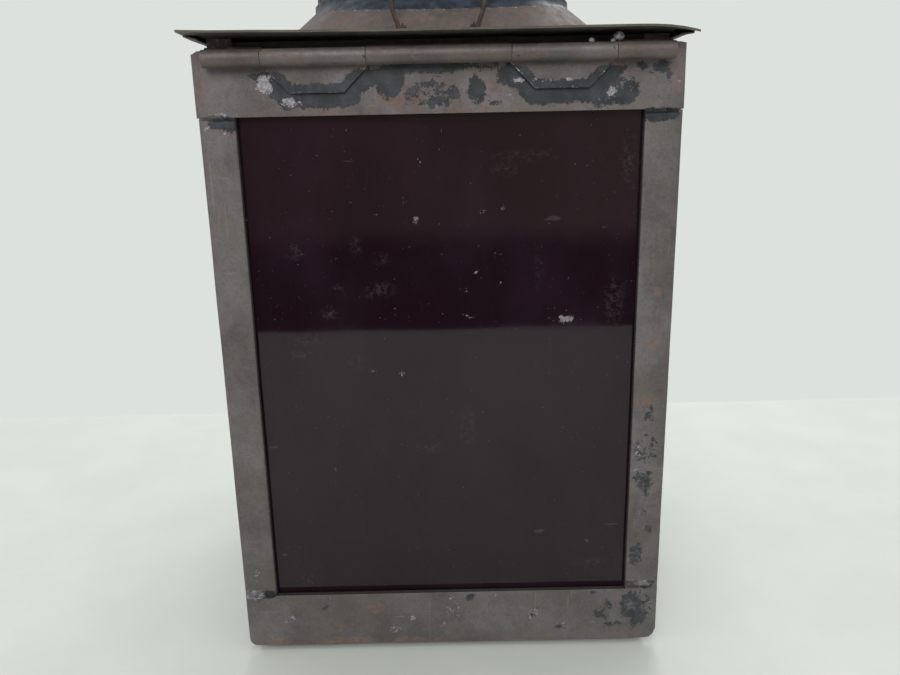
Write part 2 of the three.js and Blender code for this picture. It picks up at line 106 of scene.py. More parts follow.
CHIMNEY_SHIFT = 1.2  # the chimney is soldered on a little to the right of the middle
SEAM_ANGLE = math.radians(62)  # where the chimney's seams are, from +X towards +Y
BAIL_Y, BAIL_Z = (value / MM for value in JOINT["bail_swing"]["pos_m"][1:])
BAIL_LEAN = math.radians(19.6)  # how far the loop leans back from upright at rest
WIRE_RADIUS = 0.85
EYE_RADIUS = 1.35
EYE_WIRE = 0.36  # radius of the wire that an eye is bent from


# ---------------------------------------------------------------- shader building
def colour(code):
    """Linear RGBA of an sRGB code such as 6b6563."""
    parts = [int(code[i : i + 2], 16) / 255 for i in (0, 2, 4)]
    return [p / 12.92 if p <= 0.04045 else ((p + 0.055) / 1.055) ** 2.4 for p in parts] + [1.0]


class Nodes:
    """A node tree and the few helpers that the materials and the world share."""

    def __init__(self, tree):
        self.tree = tree
        tree.nodes.clear()

    def node(self, kind, **settings):
        made = self.tree.nodes.new(kind)
        for key, value in settings.items():
            setattr(made, key, value)
        return made

    def feed(self, socket, value):
        """Links a socket, or sets its value: a number, a vector or a colour code."""
        if isinstance(value, bpy.types.NodeSocket):
            self.tree.links.new(value, socket)
        else:
            socket.default_value = colour(value) if isinstance(value, str) else value

    def math(self, operation, a, b):
        made = self.node("ShaderNodeMath", operation=operation)
        self.feed(made.inputs[0], a)
        self.feed(made.inputs[1], b)
        return made.outputs[0]

    def plus(self, a, b):
        return self.math("ADD", a, b)

    def less(self, a, b):
        return self.math("SUBTRACT", a, b)

    def times(self, a, b):
        return self.math("MULTIPLY", a, b)

    def most(self, a, b):
        return self.math("MAXIMUM", a, b)

    def band(self, value, low, high):
        """0 below low, 1 above high, and smooth between."""
        made = self.node("ShaderNodeMapRange", interpolation_type="SMOOTHSTEP")
        self.feed(made.inputs["Value"], value)
        made.inputs["From Min"].default_value = low
        made.inputs["From Max"].default_value = high
        return made.outputs["Result"]

    def mix(self, share, a, b):
        made = self.node("ShaderNodeMix", data_type="RGBA")
        for socket, value in zip((made.inputs["Factor"], made.inputs[6], made.inputs[7]), (share, a, b)):
            self.feed(socket, value)
        return made.outputs[2]

    def tint(self, base, mask, strength, code):
        """The base turned towards a colour where the mask is, by at most strength."""
        return self.mix(self.times(mask, strength), base, code)


class Shader(Nodes):
    """A principled material."""

    def __init__(self, name):
        self.material = bpy.data.materials.new(name)
        self.material.use_nodes = True
        super().__init__(self.material.node_tree)
        self.surface = self.node("ShaderNodeBsdfPrincipled")
        output = self.node("ShaderNodeOutputMaterial")
        self.tree.links.new(self.surface.outputs["BSDF"], output.inputs["Surface"])
        self.place = self.node("ShaderNodeTexCoord").outputs["Object"]

    def noise(self, size_mm, detail=5.0, rough=0.6, stretch=(1, 1, 1), shift=0.0):
        """Cloudy noise whose largest features are about size_mm across."""
        mapping = self.node("ShaderNodeMapping")
        self.feed(mapping.inputs["Vector"], self.place)
        mapping.inputs["Scale"].default_value = stretch
        mapping.inputs["Location"].default_value = (shift, shift, shift)
        made = self.node("ShaderNodeTexNoise")
        self.feed(made.inputs["Vector"], mapping.outputs["Vector"])
        made.inputs["Scale"].default_value = 1 / (size_mm * MM)
        made.inputs["Detail"].default_value = detail
        made.inputs["Roughness"].default_value = rough
        return made.outputs["Fac"]

    def cover(self, low, high, *noise, **more):
        """A mask: 0 where a noise is below low and 1 where it is above high."""
        return self.band(self.noise(*noise, **more), low, high)

    def mark(self, name):
        """A value painted on the mesh's points, 0 where there is none."""
        return self.node("ShaderNodeAttribute", attribute_name=name).outputs["Fac"]

    def upright(self, vector):
        """The Z part of a vector."""
        made = self.node("ShaderNodeSeparateXYZ")
        self.feed(made.inputs[0], vector)
        return made.outputs["Z"]

    def ragged(self, amount, size_mm, reach, shift):
        """A patch whose edge and inside are broken up like flaking paint."""
        coarse = self.times(self.less(self.noise(size_mm, 9, 0.8, shift=shift), 0.5), reach)
        fine = self.times(self.less(self.noise(size_mm / 3, 4, 0.7, shift=shift + 1), 0.5), 0.8)
        return self.band(self.plus(amount, self.plus(coarse, fine)), 0.50, 0.535)

    def bump(self, height, distance_mm, strength):
        made = self.node("ShaderNodeBump")
        self.feed(made.inputs["Height"], height)
        made.inputs["Distance"].default_value = distance_mm * MM
        made.inputs["Strength"].default_value = strength
        self.feed(self.surface.inputs["Normal"], made.outputs["Normal"])

    def finish(self, base, rough, metal):
        self.feed(self.surface.inputs["Base Color"], base)
        self.feed(self.surface.inputs["Roughness"], rough)
        self.feed(self.surface.inputs["Metallic"], metal)
        return self.material


def tin(name, light, dark, tint, rust_share=0.5, paint_share=0.0, metal=0.55, paints=("24282d", "373d45")):
    """Old tinplate: mottled metal with grain, scratches, faint rust, pale bare flecks and flaking japanning.
    The points' marks paint, bare and rust say where each is strongest; the fourth mark, which darkens the
    tin towards near-black, is painted shade."""
    s = Shader(name)
    cloudy = s.noise(11, 8, 0.7, shift=0.3)
    grain = s.noise(0.8, 4, 0.65)
    smudge = s.cover(0.52, 0.68, 14, 8, 0.76, stretch=(1, 1, 0.5), shift=1.9)
    base = s.mix(s.cover(0.36, 0.64, 34, 6, 0.66), dark, light)
    base = s.tint(base, s.band(cloudy, 0.44, 0.66), 0.5, tint)
    base = s.tint(base, s.band(grain, 0.48, 0.72), 0.36, "37322f")
    base = s.tint(base, s.cover(0.55, 0.7, 1.7, 3, 0.6, shift=2.9), 0.2, "8d8786")
    base = s.tint(base, smudge, 0.32, "4d4744")
    base = s.tint(base, s.cover(0.5, 0.66, 19, 7, 0.7, shift=7.4), 0.42, "6a665a")

    across = s.cover(0.70, 0.74, 1.2, 2, 0.5, stretch=(1, 1, 0.03), shift=4.1)
    along = s.cover(0.72, 0.76, 1.0, 2, 0.5, stretch=(0.05, 0.05, 1), shift=6.3)
    scratch = s.times(s.most(across, along), 0.28)
    base = s.mix(scratch, base, "a39d98")

    rust = s.plus(s.noise(6.0, 8, 0.74, shift=2.2), s.times(s.mark("rust"), 0.2))
    rust = s.band(rust, 0.58 - 0.08 * rust_share, 0.82 - 0.08 * rust_share)
    rust_tone = s.mix(s.cover(0.4, 0.62, 2.5, 5, 0.6, shift=1.2), "65493e", "7a5b4b")
    base = s.tint(base, rust, 0.6, rust_tone)
    pits = s.cover(0.67, 0.71, 1.6, 6, 0.7, shift=3.1)
    base = s.tint(base, pits, 0.7, "2b2726")

    bare = s.ragged(s.mark("bare"), 2.4, 1.7, 0.7)
    bare_tone = s.mix(s.cover(0.38, 0.62, 1.3, 4, 0.7, shift=5.2), "8b878c", "b7b4bb")
    base = s.tint(base, bare, 0.9, bare_tone)
    paint = s.ragged(s.most(s.mark("paint"), paint_share), 4.0, 2.3, 5.5)
    paint = s.times(paint, s.less(1.0, bare))
    paint_tone = s.mix(s.cover(0.4, 0.65, 7, 6, 0.65, shift=8.0), *paints)
    paint_tone = s.tint(paint_tone, s.band(grain, 0.56, 0.76), 0.3, "59605f")
    base = s.mix(paint, base, paint_tone)
    # painted shade: this mark turns the tin towards near-black where shade falls, and makes it rougher and
    # less metallic there
    painted_shade = s.mark("painted_shade")
    base = s.tint(base, painted_shade, 0.92, "1d1a19")

    rough = s.plus(0.42, s.times(cloudy, 0.22))
    rough = s.plus(rough, s.times(s.most(rust, painted_shade), 0.25))
    rough = s.less(rough, s.times(paint, 0.16))
    shine = s.times(s.less(1.0, s.most(s.most(rust, painted_shade), paint)), metal)
    relief = s.plus(s.times(s.most(paint, bare), 0.6), s.times(grain, 0.3))
    relief = s.less(relief, s.times(s.most(pits, scratch), 0.55))
    relief = s.plus(relief, s.times(s.plus(cloudy, rust), 0.3))
    s.bump(relief, 0.18, 0.85)
    return s.finish(base, rough, shine)


def japanned(name, low_mm, wear):
    """Blue-black stoving enamel, semi-gloss, worn through to browned tin: mostly near its lower edge."""
    s = Shader(name)
    cloudy = s.noise(9, 8, 0.72)
    streaks = s.noise(6, 7, 0.74, stretch=(1, 1, 0.14), shift=1.4)
    grain = s.noise(0.7, 3, 0.6)
    base = s.mix(s.band(cloudy, 0.38, 0.66), "272c33", "353f4a")
    base = s.tint(base, s.band(streaks, 0.5, 0.68), 0.5, "3c3e3d")
    scuff = s.cover(0.72, 0.76, 1.3, 2, 0.5, stretch=(0.1, 0.1, 1), shift=3.7)
    base = s.tint(base, scuff, 0.4, "6f7478")
    freckles = s.cover(0.62, 0.68, 2.2, 7, 0.78, shift=6.1)
    base = s.tint(base, freckles, 0.6, "5b4a40")
    lying = s.upright(s.node("ShaderNodeNewGeometry").outputs["Normal"])
    dust = s.times(s.band(lying, 0.4, 1.0), s.cover(0.3, 0.7, 5, 8, 0.75, shift=2.0))
    base = s.tint(base, dust, 0.3, "77736b")

    above = s.less(s.upright(s.place), low_mm * MM)
    edge = s.less(0.30, s.times(above, 0.30 / (5 * MM)))
    worn_at = s.plus(s.most(edge, 0.0), s.noise(6, 9, 0.76, shift=2.7))
    worn = s.band(worn_at, 0.70 - 0.06 * wear, 0.735 - 0.06 * wear)
    base = s.mix(worn, base, s.mix(s.cover(0.4, 0.6, 8, 5, 0.6), "6d5f55", "7b5c48"))
    chips = s.cover(0.74, 0.76, 2.4, 3, 0.5, shift=9.1)
    base = s.tint(base, chips, 0.8, "a9a9a6")
    rough = s.plus(s.times(s.most(worn, chips), 0.35), 0.30)
    rough = s.plus(rough, s.times(s.most(streaks, dust), 0.2))
    hollows = s.times(s.most(worn, s.most(freckles, scuff)), 0.5)
    relief = s.less(s.times(grain, 0.25), hollows)
    s.bump(s.plus(relief, s.times(cloudy, 0.5)), 0.15, 0.8)
    return s.finish(base, rough, s.times(worn, 0.35))


def ruby_glass():
    """Deep ruby, almost black, with dust, faint smears, hair scratches and a few pale specks."""
    s = Shader("ruby_glass_pane")
    smear = s.noise(38, 5, 0.6, stretch=(1, 1, 0.6))
    dust = s.cover(0.73, 0.78, 1.0, 2, 0.5, shift=3.3)
    specks = s.cover(0.72, 0.76, 3.0, 6, 0.62, shift=7.7)
    hair = s.cover(0.765, 0.78, 2.4, 2, 0.4, stretch=(0.12, 1, 0.5), shift=5.0)
    dirt = s.most(s.times(dust, 0.3), s.times(specks, 0.42))
    dirt = s.most(dirt, s.times(hair, 0.10))
    broken = s.times(s.less(s.noise(1.5, 6, 0.78, shift=4.4), 0.5), 2.4)
    chips = s.band(s.plus(s.mark("chip"), broken), 0.5, 0.62)
    chips = s.times(chips, s.band(s.mark("chip"), 0.02, 0.2))
    scuffs = s.times(s.mark("scuff"), s.cover(0.47, 0.62, 1.8, 7, 0.8, shift=6.6))
    dirt = s.most(dirt, s.most(s.times(chips, 0.8), s.times(scuffs, 0.14)))
    base = s.mix(s.band(smear, 0.35, 0.7), "1c0f16", "24161f")
    base = s.mix(dirt, base, "8d8488")
    rough = s.plus(0.035, s.times(s.band(smear, 0.4, 0.75), 0.05))
    rough = s.plus(rough, s.times(dirt, 0.9))
    s.surface.inputs["IOR"].default_value = 1.4
    s.bump(s.plus(s.noise(60, 2, 0.5), s.times(dirt, 0.2)), 0.35, 0.25)
    return s.finish(base, rough, 0.0)


def shade_black(name, dark, light):
    """A dull, even near-black, used as painted shade; on the rail it also stands for black japanning."""
    s = Shader(name)
    tone = s.mix(s.cover(0.4, 0.65, 7, 6, 0.7), dark, light)
    s.surface.inputs["Specular IOR Level"].default_value = 0.12
    s.bump(s.noise(1.2, 5, 0.7), 0.15, 0.7)
    return s.finish(tone, 0.95, 0.0)


def plain_metal(name, light, dark, spot, rough, metal, size_mm):
    """Aged metal for small fittings: two-tone tarnish with dark spots and fine grain."""
    s = Shader(name)
    tarnish = s.noise(size_mm, 7, 0.68)
    spots = s.cover(0.62, 0.70, size_mm / 3, 5, 0.66, shift=1.7)
    grain = s.noise(0.5, 3, 0.6)
    base = s.mix(s.band(tarnish, 0.36, 0.64), dark, light)
    base = s.tint(base, spots, 0.6, spot)
    roughness = s.plus(rough, s.times(s.most(tarnish, spots), 0.25))
    shine = s.less(metal, s.times(spots, metal * 0.6))
    s.bump(s.plus(s.times(grain, 0.4), tarnish), 0.1, 0.7)
    return s.finish(base, roughness, shine)


def woven_cotton():
    """A flat woven wick: fine crossing threads, charred towards its top."""
    s = Shader("woven_cotton")
    threads = []
    for direction in ("X", "Z"):
        made = s.node("ShaderNodeTexWave", bands_direction=direction, wave_type="BANDS")
        s.feed(made.inputs["Vector"], s.place)
        made.inputs["Scale"].default_value = 350
        threads.append(made.outputs["Fac"])
    weave = s.times(*threads)
    top = span("wick")[1].z
    char = s.band(s.upright(s.place), (top - 9) * MM, (top - 3) * MM)
    base = s.mix(weave, "a89c84", "d8cfb8")
    base = s.mix(char, base, "1d1a18")
    s.bump(weave, 0.2, 0.8)
    return s.finish(base, 0.95, 0.0)


WORN = tin("worn_tin_sheet", "757374", "5f5b5b", "6d645f")
DOOR_TIN = tin("door_tin_sheet", "787376", "5d5859", "71655e", rust_share=0.35, metal=0.5)
TUBE_TIN = tin("hinge_tube_tin", "6b6263", "584f4f", "635850", rust_share=0.6, metal=0.45)
RUSTY = tin("purple_brown_tin", "6a5f60", "574c4e", "6f6257", rust_share=0.6, metal=0.4)
CONE_PAINTS = ("20262f", "36414f")
CONE_TIN = tin("cone_tin", "6d6566", "5b5454", "70615a", rust_share=0.8, metal=0.4, paints=CONE_PAINTS)
BROWN = tin("browned_tin_sheet", "6f645e", "574e49", "735f52", rust_share=1.2, metal=0.4)
ROOF_TIN = tin("roof_tin_sheet", "5f5c53", "4a4740", "625849", rust_share=0.7, metal=0.35)
HIDDEN = tin("dark_inner_sheet", "4a4846", "33302f", "4e443d", rust_share=0.8, paint_share=0.45, metal=0.3)
NECK_PAINT = japanned("japanned_neck", 283, 0.9)
HOOD_PAINT = japanned("japanned_hood", 348, 0.6)
GLASS = ruby_glass()
# painted shade: a near-black for the roof plate's underside, which lies in shadow
ROOF_UNDERSIDE_SHADE = shade_black("roof_underside_painted_shade", "45413f", "544f4c")
# the recessed top rail: a dull black that is its black japanning and painted shade for the dark gap under
# the roof
RAIL_BLACK_AND_SHADE = shade_black("rail_black_paint_and_shade", "47423f", "57504c")
SOLDER = plain_metal("soft_solder", "9c9a9a", "7a7775", "57524f", 0.42, 0.7, 3)
WIRE = plain_metal("rusty_iron_wire", "5d4d45", "3f342f", "71482f", 0.6, 0.5, 4)
BRASS = plain_metal("tarnished_brass", "a98b4f", "73603a", "3f3524", 0.32, 0.9, 8)
BRIGHT = plain_metal("tarnished_bright_tin", "b9b7b0", "8f8c86", "5f5347", 0.25, 0.9, 14)
COTTON = woven_cotton()


# ---------------------------------------------------------------- mesh building
def folded_line(path, radius, step):
    """Samples (point, left normal) along a folded path whose corners are rounded."""
    points = [Vector(p) for p in path]
    ways = [(b - a).normalized() for a, b in zip(points, points[1:])]
    samples = []

    def straight(start, end, way):
        count = max(1, math.ceil((end - start).length / step))
        for i in range(count + 1):
            samples.append((start.lerp(end, i / count), Vector((-way.y, way.x))))

    start = points[0]
    for i, way in enumerate(ways):
        if i == len(ways) - 1:
            straight(start, points[-1], way)
            break
        after = ways[i + 1]
        turn = math.atan2(way.x * after.y - way.y * after.x, way.dot(after))
        back = radius * math.tan(abs(turn) / 2)
        corner = points[i + 1]
        straight(start, corner - way * back, way)
        side = math.copysign(radius, turn)
        centre = corner - way * back + Vector((-way.y, way.x)) * side
        parts = max(2, math.ceil(abs(turn) / 0.3))
        for k in range(1, parts):
            angle = turn * k / parts
            cos, sin = math.cos(angle), math.sin(angle)
            normal = Vector((-way.x * sin - way.y * cos, way.x * cos - way.y * sin))
            samples.append((centre - normal * side, normal))
        start = corner + after * back
    return samples


def in_plan(point, along):
    return Vector((point.x, point.y, along))


def from_side(point, along):
    return Vector((along, point.x, point.y))


def from_front(point, along):
    return Vector((point.x, along, point.y))


def round_axis(point, angle):
    return Vector((point.x * math.cos(angle), point.x * math.sin(angle), point.y))


def round_chimney(point, angle):
    return round_axis(point, angle) + Vector((CHIMNEY_SHIFT, 0, 0))


def steps(low, high, step):
    count = max(1, round((high - low) / step))
    return [low + (high - low) * i / count for i in range(count + 1)]


def full_turn(count):
    return [2 * math.pi * i / count for i in range(count)]


def stitch(made, rows, closed=True):
    """Faces between rows of vertices, which are rings where closed."""
    count = len(rows[0])
    for low, high in zip(rows, rows[1:]):
        for i in range(count if closed else count - 1):
            k = (i + 1) % count
            made.faces.new((low[i], low[k], high[k], high[i]))


def sheet_mesh(samples, along, place, thickness, wrap=False, warp=None, dent=0.0, dent_size=40.0, seed=0.0):
    """A closed sheet: an outer skin on the path, an inner skin on its left, and a rim.
    dent is how far, in millimetres, the sheet wanders from true."""
    made = bmesh.new()
    offset = Vector((seed, seed, seed))
    skins = []
    for depth in (0.0, thickness):
        skin = []
        for point, normal in samples:
            row = []
            for value in along:
                outer = place(point, value)
                out = (place(point - normal, value) - outer).normalized()
                spot = outer - out * depth
                if warp:
                    spot = warp(spot)
                wander = noise.noise(outer / dent_size + offset) * dent if dent else 0.0
                row.append(made.verts.new((spot + out * wander) * MM))
            skin.append(row)
        skins.append(skin)
    front, back = skins
    rows, columns = len(samples), len(along)
    pairs = [(j, (j + 1) % columns) for j in range(columns if wrap else columns - 1)]
    for i in range(rows - 1):
        for j, k in pairs:
            made.faces.new((front[i][j], front[i][k], front[i + 1][k], front[i + 1][j]))
            made.faces.new((back[i][j], back[i + 1][j], back[i + 1][k], back[i][k]))
    for j, k in pairs:
        made.faces.new((front[0][j], back[0][j], back[0][k], front[0][k]))
        made.faces.new((front[-1][j], front[-1][k], back[-1][k], back[-1][j]))
    for i in range(0 if wrap else rows - 1):
        made.faces.new((front[i][0], front[i + 1][0], back[i + 1][0], back[i][0]))
        made.faces.new((front[i][-1], back[i][-1], back[i + 1][-1], front[i + 1][-1]))
    bmesh.ops.remove_doubles(made, verts=made.verts, dist=1e-6)
    bmesh.ops.recalc_face_normals(made, faces=made.faces)
    return made


def turned_mesh(profile, sides=96, warp=None):
    """A solid of revolution about Z from a profile that starts and ends on the axis."""
    made = bmesh.new()
    rings = []
    for radius, height in profile:
        ring = []
        for angle in full_turn(sides):
            spot = Vector((radius * math.cos(angle), radius * math.sin(angle), height))
            ring.append(made.verts.new((warp(spot, angle) if warp else spot) * MM))
        rings.append(ring)
    stitch(made, rings)
    bmesh.ops.remove_doubles(made, verts=made.verts, dist=1e-6)
    bmesh.ops.dissolve_degenerate(made, edges=made.edges, dist=1e-7)
    bmesh.ops.recalc_face_normals(made, faces=made.faces)
    return made


def through(points, parts):
    """A smooth line through the points, with so many parts between two of them."""
    line = []
    ends = [points[0] * 2 - points[1], *points, points[-1] * 2 - points[-2]]
    for a, b, c, d in zip(ends, ends[1:], ends[2:], ends[3:]):
        square = 2 * a - 5 * b + 4 * c - d
        cube = 3 * b - a - 3 * c + d
        for i in range(parts):
            t = i / parts
            line.append(0.5 * (2 * b + (c - a) * t + square * t**2 + cube * t**3))
    return [*line, points[-1]]


def heading(points, i):
    """The way that a line of points runs at one of them."""
    return (points[min(i + 1, len(points) - 1)] - points[max(i - 1, 0)]).normalized()


def wire_mesh(points, radius, sides=14, parts=8):
    """A round wire through the points, with blunt tips."""
    line = through(points, parts)
    made = bmesh.new()
    rings = []
    side = None
    for i, spot in enumerate(line):
        way = heading(line, i)
        side = way.orthogonal() if side is None else side - way * side.dot(way)
        side.normalize()
        other = way.cross(side)
        ring = []
        for angle in full_turn(sides):
            out = side * math.cos(angle) + other * math.sin(angle)
            ring.append(made.verts.new((spot + out * radius) * MM))
        rings.append(ring)
    stitch(made, rings)
    for end, inner in ((0, 1), (-1, -2)):
        ring = rings[end]
        way = (line[end] - line[inner]).normalized()
        tip = made.verts.new((line[end] + way * radius * 0.7) * MM)
        for k in range(sides):
            made.faces.new((ring[k], ring[(k + 1) % sides], tip))
    bmesh.ops.recalc_face_normals(made, faces=made.faces)
    return made


def marked(mesh, marks):
    """Writes each named mark, a function of a point in millimetres and its normal, on the mesh's points."""
    for name, value_at in marks.items():
        layer = mesh.attributes.new(name, "FLOAT", "POINT")
        for vertex, entry in zip(mesh.vertices, layer.data):
            entry.value = value_at(vertex.co / MM, vertex.normal)


def soften(shown, width):
    """Rounds an object's sharp edges."""
    edge = shown.modifiers.new("soft_edges", "BEVEL")
    edge.width = width * MM
    edge.segments = 2
    edge.limit_method = "ANGLE"
    edge.angle_limit = math.radians(50)


def piece(name, made, body, material, replaces=(), marks=None, sharp=35.0, bevel=0.0):
    """Turns a bmesh into a piece of the object that rides on a body."""
    mesh = bpy.data.meshes.new(name)
    made.to_mesh(mesh)
    made.free()
    for face in mesh.polygons:
        face.use_smooth = True
    mesh.set_sharp_from_angle(angle=math.radians(sharp))
    marked(mesh, marks or {})
    mesh.materials.append(material)
    shown = bpy.data.objects.new(name, mesh)
    bpy.context.scene.collection.objects.link(shown)
    if bevel:
        soften(shown, bevel)
    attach(shown, body)
    if replaces:
        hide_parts(*replaces)
    return shown


def merged(*parts):
    """Several closed shells in one bmesh."""
    whole = parts[0]
    for part in parts[1:]:
        mesh = bpy.data.meshes.new("part")
        part.to_mesh(mesh)
        part.free()
        whole.from_mesh(mesh)
        bpy.data.meshes.remove(mesh)
    return whole


def drilled(made, cutters):
    """The bmesh with the cutter bmeshes taken away."""
    pair = []
    for name, source in (("drilled", made), ("drill", merged(*cutters))):
        mesh = bpy.data.meshes.new(name)
        source.to_mesh(mesh)
        source.free()
        holder = bpy.data.objects.new(name, mesh)
        bpy.context.scene.collection.objects.link(holder)
        pair.append(holder)
    cut = pair[0].modifiers.new("cut", "BOOLEAN")
    cut.operation = "DIFFERENCE"
    cut.solver = "EXACT"
    cut.object = pair[1]
    bpy.context.view_layer.update()
    graph = bpy.context.evaluated_depsgraph_get()
    result = bmesh.new()
    result.from_mesh(pair[0].evaluated_get(graph).to_mesh())
    for holder in pair:
        bpy.data.objects.remove(holder)
    return result


def shifted(made, x=0.0, y=0.0, z=0.0):
    bmesh.ops.translate(made, vec=Vector((x, y, z)) * MM, verts=made.verts)
    return made


def laid_along_x(made, y, z):
    """Turns a solid of revolution down onto X and moves its axis to y and z."""
    bmesh.ops.transform(made, matrix=Matrix.Rotation(math.pi / 2, 4, "Y"), verts=made.verts)
    return shifted(made, y=y, z=z)


def mirrored(made):
    """The bmesh seen in a mirror that stands across X."""
    bmesh.ops.scale(made, vec=(-1, 1, 1), verts=made.verts)
    bmesh.ops.reverse_faces(made, faces=made.faces)
    return made


def rod_x(radius, x0, x1, y, z, sides=32, inset=None):
    """A round bar along X with chamfered ends."""
    inset = inset or radius * 0.12
    half = [(0, x0), (radius - inset, x0), (radius, x0 + inset)]
    other_half = [(radius, x1 - inset), (radius - inset, x1), (0, x1)]
    return laid_along_x(turned_mesh(half + other_half, sides), y, z)


def milled(teeth, depth, reach, low=-math.inf, high=math.inf):
    """A warp that cuts teeth into a solid of revolution beyond a radius, between two heights."""

    def warp(spot, angle):
        flat = Vector((spot.x, spot.y, 0))
        if low < spot.z < high and flat.length > reach:
            flat *= 1 - depth * (0.5 + 0.5 * math.cos(teeth * angle))
        return Vector((flat.x, flat.y, spot.z))

    return warp


def even(value):
    """A mark of the same strength all over."""
    return lambda _point, _normal: value


# ---------------------------------------------------------------- marks on the door's face
def smooth(value, low, high):
    share = max(0.0, min(1.0, (value - low) / (high - low)))
    return share * share * (3 - 2 * share)


def fade(distance, width):
    """1 inside a patch, falling to 0 as the distance from its edge grows to width."""
    return max(0.0, min(1.0, 0.5 - distance / width))


def strongest(point, patches):
    """How strongly the strongest of some elliptical patches marks a point."""
    values = []
    for x, z, half_x, half_z, strength in patches:
        reach = math.hypot((point.x - x) / half_x, (point.z - z) / half_z)
        values.append(strength * fade((reach - 1) * min(half_x, half_z), 3.0))
    return max(values)


def tab_distance(point, left, right):
    """Signed distance from a hinge tab's trapezoid outline, seen from the front, negative inside."""
    sides = max(left - point.x, point.x - right)
    lower = TAB_LOW - point.z
    slope_left = (left + TAB_CHAMFER + TAB_LOW - point.x - point.z) / math.sqrt(2)
    slope_right = (point.x - right + TAB_CHAMFER + TAB_LOW - point.z) / math.sqrt(2)
    return max(sides, lower, slope_left, slope_right)


TABS = [span(name) for name in ("hinge_leaf_door_left", "hinge_leaf_door_right")]
PAINT_OUT = 5.6  # old paint lies along a tab's outline, this far outside it
PAINT_IN = 3.2  # and this far inside
BARE_AND_HIGHLIGHT_EDGE = 0.5  # a tab's edge is painted pale this far in: rubbed-bare tin, and a painted highlight where the edge catches light
# The patches on the door and the glass are each (x, z, half width, half height, strength).
PAINT_PATCHES = [
    (-19, 248, 6, 7, 0.72), (-2, 253, 24, 2.2, 0.95), (-3, 243, 13, 5.5, 0.5), (14, 244, 4, 6.5, 0.72),
    (5, 243, 5, 2.4, 0.7), (1.5, 239.5, 2.6, 1.5, 0.62), (9, 238.7, 1.7, 1, 0.66),
    (21, 239.4, 2.5, 1.3, 0.68), (27.5, 249, 6.5, 4, 0.85), (68, 243, 10, 6, 0.66), (62, 240, 6, 4, 0.7),
    (77, 251.6, 3, 2.2, 0.74), (84, 251, 4, 3, 0.72), (87, 248, 1.5, 3, 0.6), (-82.5, 233.4, 6, 2.8, 0.9),
    (84.5, 233.8, 7.5, 2.8, 0.92), (85.5, 112, 4, 4, 0.54), (85, 97, 5.5, 11, 0.44),
    (84.5, 82, 5.5, 6.5, 0.52), (86, 75, 1.4, 1.4, 0.7), (87.6, 58, 1.3, 1.6, 0.75),
    (85, 66, 1.4, 3, 0.6), (82.5, 46, 3.8, 7, 0.57), (86, 29.6, 5.5, 2.2, 0.55), (84, 19, 8, 10, 0.54),
    (69, 18, 5, 6, 0.5), (78, 10, 10, 3, 0.5), (78, 23.5, 1.8, 1.8, 0.62), (65.5, 26.8, 3.8, 1.2, 0.66),
    (49.2, 9.8, 3, 1.8, 0.72), (54, 7.4, 0.9, 0.9, 0.7), (36.7, 16.3, 1.5, 1.1, 0.8),
    (39, 19.8, 1.3, 1.1, 0.7), (33.4, 20.8, 1.2, 1.1, 0.66), (8.9, 26, 2, 2.3, 0.72),
    (-24, 25, 2.4, 1.2, 0.5), (-57, 22, 1.3, 1.6, 0.6), (-81.5, 29.5, 3.4, 3, 0.7),
]
BARE_PATCHES = [
    (-66.5, 247.5, 3.6, 4, 0.74), (-64, 251.5, 1.4, 2, 0.6), (-57.5, 241, 5, 2.4, 0.7),
    (-53, 244.6, 1.6, 0.9, 0.7), (-49.5, 240.2, 2.6, 1, 0.5), (-85, 237, 6, 0.9, 0.74),
    (-89.6, 232, 2, 3, 0.58), (-84, 230.6, 3.6, 1.2, 0.55), (44, 247.2, 15, 0.9, 0.7),
    (30, 247.5, 3.2, 1.8, 0.6), (27, 241.8, 1.8, 1, 0.75), (47, 242, 3, 0.6, 0.6),
    (66, 243, 2.4, 3.4, 0.66), (72, 247, 3, 2, 0.45), (91.4, 243, 0.9, 5, 0.62),
    (89.6, 230.8, 2.4, 1, 0.64), (-88.4, 29.2, 4.4, 2.4, 1.0), (-86, 38.5, 3, 6, 0.42),
    (86.5, 31, 6, 1.5, 0.85), (-75.2, 15.3, 1.1, 1, 0.9), (-71.6, 17.6, 1, 0.8, 0.8),
    (-69.3, 19.4, 0.9, 1, 0.6), (-72.5, 16.5, 4, 3, 0.4), (-17.6, 15.5, 1.2, 1.3, 1.0),
    (-26, 10.2, 4, 3, 0.5), (1, 20, 6, 9, 0.36), (-3, 12, 3, 2, 0.48), (20.6, 27, 1, 1.8, 0.6),
    (38, 17, 4, 4, 0.45), (50, 12, 3, 3, 0.45), (56, 28, 3, 0.8, 0.65), (63, 14, 5, 4, 0.35),
    (90.2, 20, 1.2, 8, 0.62), (-54.5, 26.6, 2.4, 1, 0.6), (-91.4, 150, 0.9, 40, 0.3),
    (88, 100, 1.5, 16, 0.42), (81.5, 92, 2.6, 14, 0.4), (83, 60, 2, 20, 0.3),
]
RUST_PATCHES = [
    (-48, 4.4, 13, 1.8, 2.2), (-79, 5, 4, 2.6, 1.7), (-50.5, 11, 2.6, 2.6, 1.4), (-34, 21, 5, 3.5, 1.0),
    (-20, 4, 30, 1.2, 1.3), (87, 164, 1.2, 1.4, 1.8), (86.5, 143, 1.8, 2.6, 2.0),
    (85, 117.2, 4, 1.2, 2.0), (-28, 252, 2.5, 4, 2.0), (66, 250.5, 2.8, 4, 2.6), (90, 250, 3, 9, 1.0),
    (21, 245, 3, 5, 1.2), (-16, 241.5, 9, 3, 1.5), (-90, 250, 4, 12, 0.8), (0, 237.3, 75, 1.2, 1.0),
]


